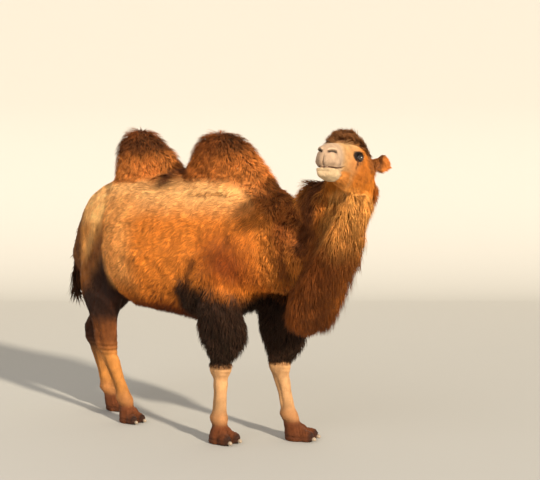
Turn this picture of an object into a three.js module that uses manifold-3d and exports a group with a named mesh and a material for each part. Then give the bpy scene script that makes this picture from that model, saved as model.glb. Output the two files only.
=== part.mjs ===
// A two-humped camel, standing with its head turned to its right, as a life-size still model.
// Millimetres, +X ahead of the animal, +Y to its left, +Z up. The floor is Z = 0.
//
// The body is lofted through stations along each bone line, out to the tips of the coat. Every
// named piece is a function of grow: where two pieces meet, the one that comes first in the
// list keeps its shape, and the later one is cut back by it, grown by a small gap. Stations are
// measured from the point on the floor half way between the hind feet, and the whole model is
// moved to stand over the middle of its own box at the end.
import * as THREE from "three";
import { LoftGeometry } from "three/addons/geometries/LoftGeometry.js";
import { mergeVertices } from "three/addons/utils/BufferGeometryUtils.js";
import Module from "manifold-3d";

const wasm = await Module();
wasm.setup();

// ---- Driving dimensions -------------------------------------------------------------------

const HUMP_TOP = { rear: 2120, front: 2085 };
const HUMP_AT = { rear: 205, front: 945 };
const HUMP_FOOT = 1775; // where the humps rise from the back
const WIDEST_AT = 0.42; // how far up the trunk is widest
const NECK_START = 1330; // how far ahead the neck begins
const GAP = 0.6; // clearance between neighbouring pieces

const HEAD = { at: [2088, -18, 1779], yaw: -81, pitch: 11.3 }; // degrees to the left and nose up
const EYE = { along: 236, out: 73, up: 44, radius: 22 };
const MOUTH_HEIGHT = -76; // in the head's own frame
const JAW_BACK = 60;

const FOOT_TOP = 128;
const FOOT_SIZE = { foreleg: 1, hindleg: 0.88 };
const TOE = { ahead: 74, apart: 42, reach: [66, 43, 44], height: 34, splay: 5 };
const NAIL = { ahead: 133, apart: 45, reach: [19, 15, 15], height: 22 };

const COLOURS = {
  coat: { color: 0xb5703a, roughness: 0.92 },
  dark: { color: 0x4f2a17, roughness: 0.95 },
  pale: { color: 0xd9a877, roughness: 0.9 },
  nail: { color: 0x8d7f6e, roughness: 0.45 },
  eye: { color: 0x120c08, roughness: 0.08 },
};

// ---- Solids -------------------------------------------------------------------------------

// A closed geometry as a solid, with the vertices that meet merged.
function solid(geometry) {
  const bare = new THREE.BufferGeometry();
  bare.setAttribute("position", geometry.attributes.position).setIndex(geometry.index);
  const merged = mergeVertices(bare, 1e-3);
  const vertProperties = merged.attributes.position.array;
  return new wasm.Manifold(
    new wasm.Mesh({ numProp: 3, vertProperties, triVerts: new Uint32Array(merged.index.array) }),
  );
}

const join = (...solids) => solids.reduce((all, next) => all.add(next));

function placed(at, yaw = 0, pitch = 0) {
  const turn = new THREE.Euler(0, THREE.MathUtils.degToRad(-pitch), THREE.MathUtils.degToRad(yaw), "ZYX");
  return new THREE.Matrix4().makeRotationFromEuler(turn).setPosition(...at);
}

function curveThrough(stations, read) {
  return new THREE.CatmullRomCurve3(stations.map((s) => new THREE.Vector3(...read(s))), false, "catmullrom");
}

// Lofts an oval section along a spine. A station gives the spine's point (at) and the section's
// half width (wide), its reach towards the top vector (above) and away from it (below).
function loft(stations, { rings, around, grow = 0, top = [0, 0, 1], place = null }) {
  const spine = curveThrough(stations, (s) => s.at);
  const sizes = curveThrough(stations, (s) => [s.wide, s.above, s.below ?? s.above]);
  const tops = curveThrough(stations, (s) => s.top ?? top);
  const sections = [];
  for (let i = 0; i <= rings; i++) {
    const t = i / rings;
    const centre = spine.getPoint(t);
    const along = spine.getTangent(t);
    if (i === 0) centre.addScaledVector(along, -grow);
    if (i === rings) centre.addScaledVector(along, grow);
    const left = tops.getPoint(t).cross(along).normalize();
    const up = along.clone().cross(left);
    const size = sizes.getPoint(t).addScalar(grow);
    const section = [];
    for (let j = 0; j < around; j++) {
      const angle = (2 * Math.PI * j) / around;
      const reach = Math.sin(angle) > 0 ? size.y : size.z;
      const point = centre.clone().addScaledVector(left, Math.cos(angle) * size.x);
      section.push(point.addScaledVector(up, Math.sin(angle) * reach));
    }
    sections.push(section);
  }
  const geometry = new LoftGeometry(sections, { capStart: true, capEnd: true });
  if (place) geometry.applyMatrix4(place);
  return solid(geometry);
}

function egg(at, radii, { around = 10, rings = 7, turn = 0, place = null, grow = 0 } = {}) {
  const geometry = new THREE.SphereGeometry(1, around, rings);
  geometry.rotateX(Math.PI / 2);
  geometry.scale(...radii.map((r) => r + grow));
  geometry.rotateZ(THREE.MathUtils.degToRad(turn));
  geometry.translate(...at);
  if (place) geometry.applyMatrix4(place);
  return solid(geometry);
}

function block(low, high, { place = null, grow = 0 } = {}) {
  const size = high.map((h, i) => h - low[i] + 2 * grow);
  const geometry = new THREE.BoxGeometry(...size);
  geometry.translate(...low.map((l, i) => (l + high[i]) / 2));
  if (place) geometry.applyMatrix4(place);
  return solid(geometry);
}

const FAR = 4000;
const slab = (low, high, grow) => block([-FAR, -FAR, low - grow], [FAR, FAR, high + grow]);
const aboveFloor = slab(0, FAR, 0);

// ---- Trunk and humps ----------------------------------------------------------------------

// Top line, belly line and half width at a distance x ahead of the start.
const TRUNK = [
  { x: -410, top: 1320, belly: 1170, wide: 50 },
  { x: -372, top: 1430, belly: 1060, wide: 140 },
  { x: -275, top: 1545, belly: 965, wide: 198 },
  { x: -150, top: 1650, belly: 925, wide: 230 },
  { x: -20, top: 1746, belly: 915, wide: 275 },
  { x: 110, top: 1792, belly: 885, wide: 320 },
  { x: 240, top: 1820, belly: 850, wide: 385 },
  { x: 450, top: 1838, belly: 818, wide: 415 },
  { x: 700, top: 1838, belly: 795, wide: 405 },
  { x: 950, top: 1815, belly: 800, wide: 372 },
  { x: 1180, top: 1780, belly: 940, wide: 335 },
  { x: 1370, top: 1690, belly: 980, wide: 280 },
  { x: 1500, top: 1560, belly: 1010, wide: 200 },
  { x: 1560, top: 1400, belly: 1120, wide: 90 },
];

function barrel(grow) {
  const stations = TRUNK.map(({ x, top, belly, wide }) => {
    const middle = belly + WIDEST_AT * (top - belly);
    return { at: [x, 0, middle], wide, above: top - middle, below: middle - belly };
  });
  return loft(stations, { rings: 16, around: 16, grow });
}

// A hump is lofted upwards: up is a share of its rise, ahead and behind are its reaches.
const HUMPS = {
  rear: [
    { up: -0.4, ahead: 340, behind: 225, wide: 250 },
    { up: 0, ahead: 368, behind: 192, wide: 185 },
    { up: 0.35, ahead: 340, behind: 212, wide: 158 },
    { up: 0.65, ahead: 228, behind: 200, wide: 135 },
    { up: 0.88, ahead: 120, behind: 135, wide: 90 },
    { up: 0.98, ahead: 52, behind: 72, wide: 42 },
    { up: 1, ahead: 5, behind: 25, wide: 10 },
  ],
  front: [
    { up: -0.4, ahead: 470, behind: 300, wide: 280 },
    { up: 0, ahead: 425, behind: 275, wide: 212 },
    { up: 0.35, ahead: 322, behind: 255, wide: 175 },
    { up: 0.65, ahead: 235, behind: 215, wide: 145 },
    { up: 0.88, ahead: 140, behind: 142, wide: 98 },
    { up: 0.98, ahead: 60, behind: 80, wide: 48 },
    { up: 1, ahead: 5, behind: 35, wide: 12 },
  ],
};

function hump(which, grow) {
  const rise = HUMP_TOP[which] - HUMP_FOOT;
  const stations = HUMPS[which].map(({ up, ahead, behind, wide }) => ({
    at: [HUMP_AT[which], 0, HUMP_FOOT + up * rise],
    wide,
    above: ahead,
    below: behind,
  }));
  return loft(stations, { rings: 7, around: 12, top: [1, 0, 0], grow });
}

// ---- Neck and head ------------------------------------------------------------------------

// The top vector turns with the neck, from the withers round to the back of the head.
const NECK = [
  { at: [1150, 0, 1330], wide: 240, above: 290, below: 260, top: [0, 0, 1] },
  { at: [1380, 0, 1330], wide: 225, above: 280, below: 250, top: [0, 0, 1] },
  { at: [1590, -5, 1265], wide: 175, above: 215, below: 195, top: [-0.2, 0, 1] },
  { at: [1790, -20, 1290], wide: 150, above: 170, below: 165, top: [-0.7, 0.1, 0.75] },
  { at: [1925, -40, 1420], wide: 145, above: 155, below: 145, top: [-1, 0.3, 0.2] },
  { at: [2020, -50, 1570], wide: 145, above: 140, below: 130, top: [-1, 0.4, 0] },
  { at: [2065, -45, 1700], wide: 135, above: 125, below: 118, top: [-1, 0.5, 0] },
  { at: [2085, -40, 1800], wide: 88, above: 92, below: 92, top: [-1, 0.6, 0] },
];

function neck(grow) {
  const inFront = block([NECK_START, -FAR, 0], [FAR, FAR, FAR], { grow });
  return loft(NECK, { rings: 12, around: 12, grow }).intersect(inFront);
}

// The head's own frame: X from the back of the skull to the lips, Y to its left, Z up.
const SKULL = [
  { x: -55, mid: 5, wide: 50, above: 55, below: 55 },
  { x: -15, mid: 0, wide: 84, above: 100, below: 95 },
  { x: 55, mid: 0, wide: 96, above: 130, below: 128 },
  { x: 125, mid: 0, wide: 98, above: 148, below: 140 },
  { x: 200, mid: 0, wide: 92, above: 150, below: 128 },
  { x: 270, mid: 0, wide: 82, above: 136, below: 112 },
  { x: 340, mid: 0, wide: 68, above: 116, below: 98 },
  { x: 410, mid: -3, wide: 61, above: 98, below: 84 },
  { x: 470, mid: -8, wide: 64, above: 90, below: 78 },
  { x: 520, mid: -12, wide: 61, above: 79, below: 74 },
  { x: 550, mid: -20, wide: 50, above: 58, below: 64 },
  { x: 563, mid: -26, wide: 20, above: 24, below: 26 },
];
const JAW = [
  { x: 70, mid: -85, wide: 76, above: 60, below: 62 },
  { x: 170, mid: -92, wide: 78, above: 60, below: 58 },
  { x: 290, mid: -90, wide: 54, above: 40, below: 50 },
  { x: 390, mid: -94, wide: 50, above: 40, below: 44 },
  { x: 460, mid: -98, wide: 59, above: 36, below: 46 },
  { x: 515, mid: -100, wide: 58, above: 36, below: 42 },
  { x: 552, mid: -96, wide: 44, above: 28, below: 30 },
];
const BROW = { at: [226, 64, 50], reach: [50, 30, 36] };
const NOSTRIL_WING = { at: [508, 32, 30], reach: [44, 26, 28] };
const LID_OPENING = { at: [238, 99, 44], reach: [21, 14, 14] };

const headPlace = placed(HEAD.at, HEAD.yaw, HEAD.pitch);
const onHead = (stations) => stations.map(({ x, mid, ...size }) => ({ at: [x, 0, mid], ...size }));

// An egg on the head, given for its left and mirrored for its right.
function headEgg({ at: [x, y, z], reach }, side, options) {
  return egg([x, side * y, z], reach, { place: headPlace, ...options });
}

function wholeHead(grow) {
  const skull = loft(onHead(SKULL), { rings: 14, around: 14, place: headPlace, grow });
  const jaw = loft(onHead(JAW), { rings: 6, around: 10, place: headPlace, grow });
  const bumps = [-1, 1].flatMap((side) =>
    [BROW, NOSTRIL_WING].map((bump) => headEgg(bump, side, { around: 8, rings: 6, grow })),
  );
  const openings = [-1, 1].map((side) => headEgg(LID_OPENING, side, { around: 8, rings: 4 }));
  return join(skull, jaw, ...bumps).subtract(join(...openings));
}

// Everything below the line of the mouth is the lower jaw.
function jawRoom(grow) {
  return block([JAW_BACK, -FAR, -FAR], [FAR, FAR, MOUTH_HEIGHT], { place: headPlace, grow });
}

const lowerJaw = (grow) => wholeHead(grow).intersect(jawRoom(grow));

function eyeball(side, grow) {
  const centre = { at: [EYE.along, EYE.out, EYE.up], reach: [EYE.radius, EYE.radius, EYE.radius] };
  return headEgg(centre, side, { around: 8, rings: 6, grow });
}

// An ear is lofted outwards from the skull, a little back and down, and hollowed in front.
const EAR = [
  { at: [30, 50, 60], wide: 34, above: 16 },
  { at: [18, 92, 60], wide: 50, above: 17 },
  { at: [8, 128, 54], wide: 50, above: 14 },
  { at: [0, 158, 45], wide: 33, above: 10 },
  { at: [-4, 175, 38], wide: 10, above: 5 },
];
const EAR_HOLLOW = { at: [34, 130, 54], reach: [22, 36, 34] };

function ear(side, grow) {
  const stations = EAR.map(({ at: [x, y, z], ...size }) => ({ at: [x, side * y, z], ...size }));
  const outer = loft(stations, { rings: 5, around: 8, place: headPlace, top: [1, 0, 0.2], grow });
  return outer.subtract(headEgg(EAR_HOLLOW, side, { around: 8, rings: 4 }));
}

// ---- Legs ---------------------------------------------------------------------------------

// Thickness along a leg, from inside the trunk. The place on it is a number: 0 at the shoulder or
// hip, 1 at the elbow or stifle, 2 at the knee or hock, 3 at the fetlock and 4 at the sole.
const GIRTH = {
  foreleg: [
    { at: 0.5, wide: 112, above: 150, below: 150 },
    { at: 1, wide: 94, above: 108, below: 112 },
    { at: 1.45, wide: 72, above: 76, below: 82 },
    { at: 1.8, wide: 62, above: 62, below: 66 },
    { at: 2, wide: 70, above: 70, below: 78 },
    { at: 2.25, wide: 54, above: 54, below: 58 },
    { at: 2.6, wide: 43, above: 45, below: 46 },
    { at: 3, wide: 54, above: 54, below: 62 },
    { at: 3.4, wide: 60, above: 64, below: 62 },
    { at: 3.75, wide: 84, above: 94, below: 84 },
    { at: 4.2, wide: 84, above: 92, below: 84 },
  ],
  hindleg: [
    { at: 0.1, wide: 92, above: 130, below: 130 },
    { at: 0.45, wide: 108, above: 200, below: 215 },
    { at: 1, wide: 102, above: 160, below: 265 },
    { at: 1.4, wide: 78, above: 104, below: 214 },
    { at: 1.75, wide: 62, above: 82, below: 120 },
    { at: 2, wide: 60, above: 82, below: 90 },
    { at: 2.25, wide: 52, above: 66, below: 64 },
    { at: 2.6, wide: 42, above: 48, below: 46 },
    { at: 3, wide: 50, above: 62, below: 56 },
    { at: 3.4, wide: 55, above: 68, below: 56 },
    { at: 3.75, wide: 74, above: 90, below: 74 },
    { at: 4.2, wide: 74, above: 88, below: 74 },
  ],
};

// Long hair hangs round the upper foreleg like a sleeve, from the elbow to above the knee.
const SLEEVE = [
  { at: 0.82, wide: 105, above: 130, below: 120 },
  { at: 1.15, wide: 138, above: 212, below: 140 },
  { at: 1.4, wide: 132, above: 238, below: 152 },
  { at: 1.62, wide: 108, above: 212, below: 118 },
  { at: 1.78, wide: 84, above: 140, below: 82 },
  { at: 1.86, wide: 66, above: 74, below: 64 },
];

// A leg's joints from the top down, and the way its foot points, in degrees to the left.
const LEGS = {
  foreleg_right: {
    toesTo: -6,
    joints: [[1130, -190, 1450], [1075, -212, 960], [1095, -187, 500], [1080, -188, 160], [1090, -188, 10]],
  },
  foreleg_left: {
    toesTo: 16,
    joints: [[1160, 190, 1450], [1262, 208, 950], [1310, 176, 470], [1382, 186, 150], [1444, 187, 10]],
  },
  hindleg_right: {
    toesTo: -4,
    joints: [[-90, -130, 1420], [10, -170, 960], [-30, -132, 530], [135, -120, 155], [175, -118, 10]],
  },
  hindleg_left: {
    toesTo: 4,
    joints: [[-130, 130, 1420], [-195, 170, 970], [-450, 134, 575], [-285, 120, 165], [-200, 118, 10]],
  },
};

const kindOf = (name) => name.split("_")[0];

function alongLeg({ joints }, stations) {
  return stations.map(({ at, ...size }) => {
    const joint = Math.min(Math.floor(at), joints.length - 2); // past the sole, it carries on
    const share = at - joint;
    return { at: joints[joint].map((v, i) => v + share * (joints[joint + 1][i] - v)), ...size };
  });
}

function wholeLeg(name, grow) {
  const leg = LEGS[name];
  const kind = kindOf(name);
  const options = { around: 10, top: [1, 0, 0], grow };
  const bone = loft(alongLeg(leg, GIRTH[kind]), { rings: 14, ...options });
  if (kind === "hindleg") return bone;
  return bone.add(loft(alongLeg(leg, SLEEVE), { rings: 6, ...options }));
}

// A foot's own frame: X along the foot, on the floor under the middle of its pad.
function footPlace(name) {
  const { joints, toesTo } = LEGS[name];
  const [x, y] = joints.at(-1);
  const size = FOOT_SIZE[kindOf(name)];
  return placed([x, y, 0], toesTo).scale(new THREE.Vector3(size, size, size));
}

function foot(name, grow) {
  const place = footPlace(name);
  const options = { place, around: 8, rings: 5, grow };
  const toes = [-1, 1].map((side) =>
    egg([TOE.ahead, side * TOE.apart, TOE.height], TOE.reach, { ...options, turn: side * TOE.splay }),
  );
  return join(wholeLeg(name, grow), ...toes).intersect(slab(0, FOOT_TOP, grow)).intersect(aboveFloor);
}

function nail(name, side, grow) {
  const at = [NAIL.ahead, side * NAIL.apart, NAIL.height];
  return egg(at, NAIL.reach, { place: footPlace(name), around: 6, rings: 4, grow }).intersect(aboveFloor);
}

// ---- Long hair and tail -------------------------------------------------------------------

const TOPKNOT = [
  { at: [-70, 0, 80], wide: 28, above: 26 },
  { at: [-20, 0, 112], wide: 66, above: 42 },
  { at: [50, -6, 132], wide: 80, above: 50 },
  { at: [120, -18, 148], wide: 86, above: 76 },
  { at: [190, -34, 158], wide: 84, above: 86 },
  { at: [250, -50, 150], wide: 70, above: 64 },
  { at: [305, -76, 128], wide: 48, above: 38 },
  { at: [330, -86, 118], wide: 16, above: 12 },
];
const MANE = [
  { at: [1310, 0, 1640], wide: 70, above: 70, below: 60, top: [0, 0, 1] },
  { at: [1470, 0, 1585], wide: 95, above: 85, below: 60, top: [0.1, 0, 1] },
  { at: [1600, -8, 1465], wide: 95, above: 80, below: 60, top: [0.2, 0, 1] },
  { at: [1715, -28, 1400], wide: 95, above: 75, below: 60, top: [-0.5, 0, 1] },
  { at: [1805, -50, 1480], wide: 115, above: 140, below: 60, top: [-1, -0.1, 0.3] },
  { at: [1840, -60, 1600], wide: 125, above: 208, below: 60, top: [-1, -0.2, 0] },
  { at: [1905, -45, 1705], wide: 105, above: 108, below: 60, top: [-1, 0, 0.3] },
  { at: [1970, -10, 1775], wide: 60, above: 60, below: 40, top: [-0.7, 0.3, 0.7] },
];
const THROAT_FRINGE = [
  { at: [2135, -165, 1660], wide: 70, above: 60, below: 30 },
  { at: [2110, -160, 1560], wide: 110, above: 100, below: 66 },
  { at: [2045, -140, 1400], wide: 135, above: 120, below: 76 },
  { at: [1925, -100, 1240], wide: 152, above: 160, below: 66 },
  { at: [1812, -55, 1070], wide: 172, above: 240, below: 66 },
  { at: [1715, -30, 930], wide: 165, above: 200, below: 76 },
  { at: [1665, -20, 830], wide: 115, above: 130, below: 70 },
  { at: [1650, -10, 765], wide: 20, above: 30, below: 20 },
];
const TAIL = [
  { at: [-280, 0, 1490], wide: 44, above: 34 },
  { at: [-345, 0, 1475], wide: 44, above: 34 },
  { at: [-405, 0, 1395], wide: 42, above: 30 },
  { at: [-442, 0, 1280], wide: 42, above: 28 },
  { at: [-462, 0, 1150], wide: 46, above: 28 },
  { at: [-480, 0, 1030], wide: 52, above: 30 },
  { at: [-490, 0, 930], wide: 38, above: 24 },
  { at: [-495, 0, 870], wide: 8, above: 8 },
];

// ---- The list of pieces -------------------------------------------------------------------

const EACH_SIDE = [["left", 1], ["right", -1]];
const pieces = [];
const piece = (name, look, shape) => pieces.push({ name, look, shape });

for (const [word, side] of EACH_SIDE) {
  piece(`eye_${word}`, "eye", (grow) => eyeball(side, grow));
  piece(`ear_${word}`, "dark", (grow) => ear(side, grow));
}
piece("topknot", "dark", (grow) => loft(TOPKNOT, { rings: 8, around: 10, place: headPlace, grow }));
piece("mane", "dark", (grow) => loft(MANE, { rings: 13, around: 8, grow }));
piece("throat_fringe", "coat", (grow) => loft(THROAT_FRINGE, { rings: 10, around: 10, top: [-0.85, 0.5, 0], grow }));
piece("tail", "dark", (grow) => loft(TAIL, { rings: 8, around: 7, top: [1, 0, 0], grow }));
for (const name of Object.keys(LEGS)) {
  const inward = name.endsWith("left") ? -1 : 1;
  const knee = LEGS[name].joints[2][2];
  const slice = (low, high) => (grow) => wholeLeg(name, grow).intersect(slab(low, high, grow));
  piece(`${name}_nail_inner`, "nail", (grow) => nail(name, inward, grow));
  piece(`${name}_nail_outer`, "nail", (grow) => nail(name, -inward, grow));
  piece(`${name}_foot`, "dark", (grow) => foot(name, grow));
  piece(`${name}_lower`, "pale", slice(FOOT_TOP, knee));
  piece(`${name}_upper`, kindOf(name) === "foreleg" ? "dark" : "coat", slice(knee, FAR));
}
piece("hump_rear", "coat", (grow) => hump("rear", grow));
piece("hump_front", "coat", (grow) => hump("front", grow));
piece("lower_jaw", "coat", lowerJaw);
piece("head", "coat", wholeHead);
piece("neck", "coat", neck);
piece("trunk", "coat", barrel);

// ---- The scene graph ----------------------------------------------------------------------

function meshOf(name, look, made) {
  const { vertProperties, triVerts } = made.getMesh();
  const geometry = new THREE.BufferGeometry()
    .setAttribute("position", new THREE.BufferAttribute(vertProperties, 3))
    .setIndex(new THREE.BufferAttribute(triVerts, 1));
  geometry.computeVertexNormals();
  const mesh = new THREE.Mesh(geometry, new THREE.MeshStandardMaterial(COLOURS[look]));
  mesh.name = name;
  return mesh;
}

const camel = new THREE.Group();
let taken = null;
for (const { name, look, shape } of pieces) {
  camel.add(meshOf(name, look, taken ? shape(0).subtract(taken) : shape(0)));
  taken = taken ? taken.add(shape(GAP)) : shape(GAP);
}

const middle = new THREE.Box3().setFromObject(camel).getCenter(new THREE.Vector3());
camel.position.set(-middle.x, -middle.y, 0);

export default camel;
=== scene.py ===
# %% [markdown]
# # Dressing a two-humped camel
# The measured solids of the camel come in as a fixed frame. This lesson lays one smooth skin
# just inside them, paints its markings, and grows a coat of small solid tufts and locks over it.
# Everything is in metres: +X is ahead of the animal, +Y is its left side, and the floor is Z = 0.

# %% The measured frame
import math

import bmesh
import bpy
import numpy as np
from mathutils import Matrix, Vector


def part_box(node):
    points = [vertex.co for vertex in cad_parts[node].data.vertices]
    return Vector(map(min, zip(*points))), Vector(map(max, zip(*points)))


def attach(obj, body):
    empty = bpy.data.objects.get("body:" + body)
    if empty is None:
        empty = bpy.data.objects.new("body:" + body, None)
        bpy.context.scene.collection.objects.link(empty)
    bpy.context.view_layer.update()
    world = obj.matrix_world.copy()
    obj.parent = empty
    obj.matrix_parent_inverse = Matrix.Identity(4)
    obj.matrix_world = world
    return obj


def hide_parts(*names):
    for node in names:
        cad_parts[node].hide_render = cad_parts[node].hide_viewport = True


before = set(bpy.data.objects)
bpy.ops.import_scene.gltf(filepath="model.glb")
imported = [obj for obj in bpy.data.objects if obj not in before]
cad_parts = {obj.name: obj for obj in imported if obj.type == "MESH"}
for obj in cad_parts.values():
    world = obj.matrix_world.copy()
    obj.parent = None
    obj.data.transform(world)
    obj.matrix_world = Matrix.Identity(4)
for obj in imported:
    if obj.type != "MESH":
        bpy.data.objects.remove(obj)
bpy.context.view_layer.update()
rng = np.random.default_rng(7)

# %% [markdown]
# ## Where things are
# A camel has few straight lines, so its landmarks are points along bones. The head has a frame
# of its own: ahead from the back of the skull to the lips, left, and up. Legs, mane, fringe and
# tail are chains of points that the coat can be measured from. These repeat the solids' tables.

# %% Landmarks
MIDDLE = 0.083  # how far left of the origin the trunk's middle plane stands
LOWEST = 0.001  # neither skin nor hair reaches lower than this


def pointing(yaw, pitch):
    """The unit direction at a yaw left of +X and a pitch above level: (cos pitch cos yaw,
    cos pitch sin yaw, sin pitch)."""
    return np.array([math.cos(pitch) * math.cos(yaw), math.cos(pitch) * math.sin(yaw), math.sin(pitch)])


HEAD_AT = np.array([1.2165, 0.0652, 1.779])
HEAD_YAW, HEAD_PITCH = math.radians(-81), math.radians(11.3)
AHEAD = pointing(HEAD_YAW, HEAD_PITCH)
LEFT = np.array([-math.sin(HEAD_YAW), math.cos(HEAD_YAW), 0.0])
UP = np.cross(AHEAD, LEFT)
HEAD_AXES = np.array([AHEAD, LEFT, UP])

FORELEGS = [
    [[0.2585, -0.1068, 1.45], [0.2035, -0.1288, 0.96], [0.2235, -0.1038, 0.5], [0.2085, -0.1048, 0.16],
     [0.2185, -0.1048, 0.01]],
    [[0.2885, 0.2732, 1.45], [0.3905, 0.2912, 0.95], [0.4385, 0.2592, 0.47], [0.5105, 0.2692, 0.15],
     [0.5725, 0.2702, 0.01]],
]
HINDLEGS = [
    [[-0.9615, -0.0468, 1.42], [-0.8615, -0.0868, 0.96], [-0.9015, -0.0488, 0.53], [-0.7365, -0.0368, 0.155],
     [-0.6965, -0.0348, 0.01]],
    [[-1.0015, 0.2132, 1.42], [-1.0665, 0.2532, 0.97], [-1.3215, 0.2172, 0.575], [-1.1565, 0.2032, 0.165],
     [-1.0715, 0.2012, 0.01]],
]
TOES_TO = [-6, 16, -4, 4]  # the yaw of each foot in degrees, in the order of the legs above
FRINGE = [[1.2635, -0.082, 1.66], [1.2385, -0.077, 1.56], [1.1735, -0.057, 1.4], [1.0535, -0.017, 1.24],
          [0.9405, 0.028, 1.07], [0.8435, 0.053, 0.93], [0.7935, 0.063, 0.83], [0.7785, 0.073, 0.765]]
MANE = [[0.4385, 0.083, 1.64], [0.5985, 0.083, 1.585], [0.7285, 0.075, 1.465], [0.8435, 0.055, 1.4],
        [0.9335, 0.033, 1.48], [0.9685, 0.023, 1.6], [1.0335, 0.038, 1.705], [1.0985, 0.073, 1.775]]
TAIL = [[-1.1515, 0.083, 1.49], [-1.2165, 0.083, 1.475], [-1.2765, 0.083, 1.395], [-1.3135, 0.083, 1.28],
        [-1.3335, 0.083, 1.15], [-1.3515, 0.083, 1.03], [-1.3615, 0.083, 0.93], [-1.3665, 0.083, 0.87]]
HUMPS = {"rear": [-0.665, MIDDLE], "front": [0.075, MIDDLE]}
# creases of the right side: behind the elbow, and between the belly and the thigh
ELBOW_FOLD = [[0.135, -0.275, 1.21], [0.085, -0.272, 1.13], [0.03, -0.262, 1.03], [0.0, -0.23, 0.94]]
BELLY_FOLD = [[-0.775, -0.15, 1.60], [-0.769, -0.185, 1.52], [-0.764, -0.215, 1.42], [-0.750, -0.235, 1.31],
              [-0.712, -0.260, 1.21], [-0.680, -0.250, 1.10], [-0.655, -0.200, 1.00], [-0.650, -0.110, 0.92]]


def to_head(points):
    """Points in the head's own frame: their offset from the skull's back along its three axes, which
    the lesson calls u (ahead), w (left) and v (up)."""
    return (points - HEAD_AT) @ HEAD_AXES.T


def folded(local):
    """Places in the head's frame with its right side folded over onto the left."""
    return local * [1, 0, 1] + np.abs(local) * [0, 1, 0]


def on_right(points):
    """Points with the left side of the trunk mirrored onto the right."""
    x, y, z = points.T
    return np.stack([x, -np.abs(y - MIDDLE) + MIDDLE, z], axis=1)


def ease(value, low, high):
    """0 below low, 1 above high, and 3t^2 - 2t^3 between, where t is the share of the way."""
    t = np.clip((value - low) / (high - low), 0, 1)
    return t * t * (3 - 2 * t)


def band(value, none, full, still_full, none_again):
    """1 between full and still_full, easing to 0 at none and at none_again."""
    return ease(value, none, full) * (1 - ease(value, still_full, none_again))


def bell(distance, width):
    """exp(-(distance / width)^2)."""
    return np.exp(-((distance / width) ** 2))


def near_line(points, line):
    """Distance of each point from a chain of straight pieces: the least over the pieces of the
    distance to the point's foot on that piece, which is kept between its two ends."""
    line = np.array(line)
    best = np.full(len(points), np.inf)
    for a, b in zip(line[:-1], line[1:]):
        share = np.clip((points - a) @ (b - a) / ((b - a) @ (b - a)), 0, 1)
        foot = a + share[:, None] * (b - a)
        best = np.minimum(best, np.linalg.norm(points - foot, axis=1))
    return best


def along_x(line, z):
    """Where along X a chain of falling points is at each height: in proportion between its points."""
    line = np.array(line)[::-1]
    return np.interp(z, line[:, 2], line[:, 0])


print("head's way:", AHEAD.round(3), "chains of points:", len(FORELEGS) + len(HINDLEGS) + 5)

# %% [markdown]
# ## Camera, floor and light
# The camera stands off the animal's right front quarter, as high as a person's eyes. A low warm
# sun ahead of the animal, with soft edges to its shadows, brings out the long hair, because tufts
# that light skims along show their shape. A large dim lamp and a pale world fill the shade.

# %% Camera, floor and light
CAMERA_AT = (4.8645, -5.6178, 1.75)
VIEW = np.array([-0.609, 0.793])  # the camera's way over the ground
LOOK_DOWN = 3.23  # degrees
camera_data = bpy.data.cameras.new("camera")
camera_data.lens = 73.33
camera = bpy.data.objects.new("camera", camera_data)
bpy.context.scene.collection.objects.link(camera)
camera.location = CAMERA_AT
camera.rotation_euler = (math.radians(90 - LOOK_DOWN), 0, math.atan2(-VIEW[0], VIEW[1]))
bpy.context.scene.camera = camera


def aimed(name, data, at, towards):
    """Puts a lamp at a place, turned to face another."""
    made = bpy.data.objects.new(name, data)
    made.location = at
    gap = np.array(towards) - np.array(at)
    tilt = math.acos(-gap[2] / np.linalg.norm(gap))
    made.rotation_euler = (tilt, 0, math.atan2(gap[1], gap[0]) - math.pi / 2)
    bpy.context.scene.collection.objects.link(made)


key = bpy.data.lights.new("key", "SUN")
key.angle = math.radians(3.5)
key.energy = 6.2
key.color = (1.0, 0.90, 0.74)
SUN_AZIMUTH, SUN_HEIGHT = math.radians(-19.0), math.radians(21.5)
aimed("key", key, tuple(8 * pointing(SUN_AZIMUTH, SUN_HEIGHT)), (0, 0, 0))
fill = bpy.data.lights.new("fill", "AREA")
fill.size = 5.0
fill.energy = 150
fill.color = (0.95, 0.97, 1.0)
aimed("fill", fill, (0.5, -6.5, 5.5), (0, 0, 1.0))
world = bpy.data.worlds.new("room")
world.use_nodes = True
world.node_tree.nodes["Background"].inputs["Color"].default_value = (0.93, 0.95, 1.0, 1)
world.node_tree.nodes["Background"].inputs["Strength"].default_value = 0.50
bpy.context.scene.world = world
bpy.context.scene.view_settings.view_transform = "Standard"
print("sun, degrees high:", round(math.degrees(SUN_HEIGHT), 1), "camera, metres high:", CAMERA_AT[2])

# %% [markdown]
# ## Meshes from arrays
# Every new piece is worked out as whole arrays and handed to Blender at once. Faces may be
# triangles or quads, given as one row of corner numbers each.

# %% Meshes from arrays
def mesh_from(name, points, faces):
    """A mesh from an array of points and an array of faces, which all have as many corners."""
    faces = np.asarray(faces, np.int32)
    mesh = bpy.data.meshes.new(name)
    mesh.vertices.add(len(points))
    mesh.vertices.foreach_set("co", np.asarray(points, np.float32).ravel())
    mesh.loops.add(faces.size)
    mesh.loops.foreach_set("vertex_index", faces.ravel())
    mesh.polygons.add(len(faces))
    mesh.polygons.foreach_set("loop_start", np.arange(0, faces.size, faces.shape[1], dtype=np.int32))
    mesh.update(calc_edges=True)
    mesh.polygons.foreach_set("use_smooth", np.ones(len(faces), bool))
    return mesh


def piece(name, mesh, material):
    """An object at the origin that moves with the one body."""
    made = bpy.data.objects.new(name, mesh)
    bpy.context.scene.collection.objects.link(made)
    mesh.materials.append(material)
    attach(made, "root")
    return made


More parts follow.
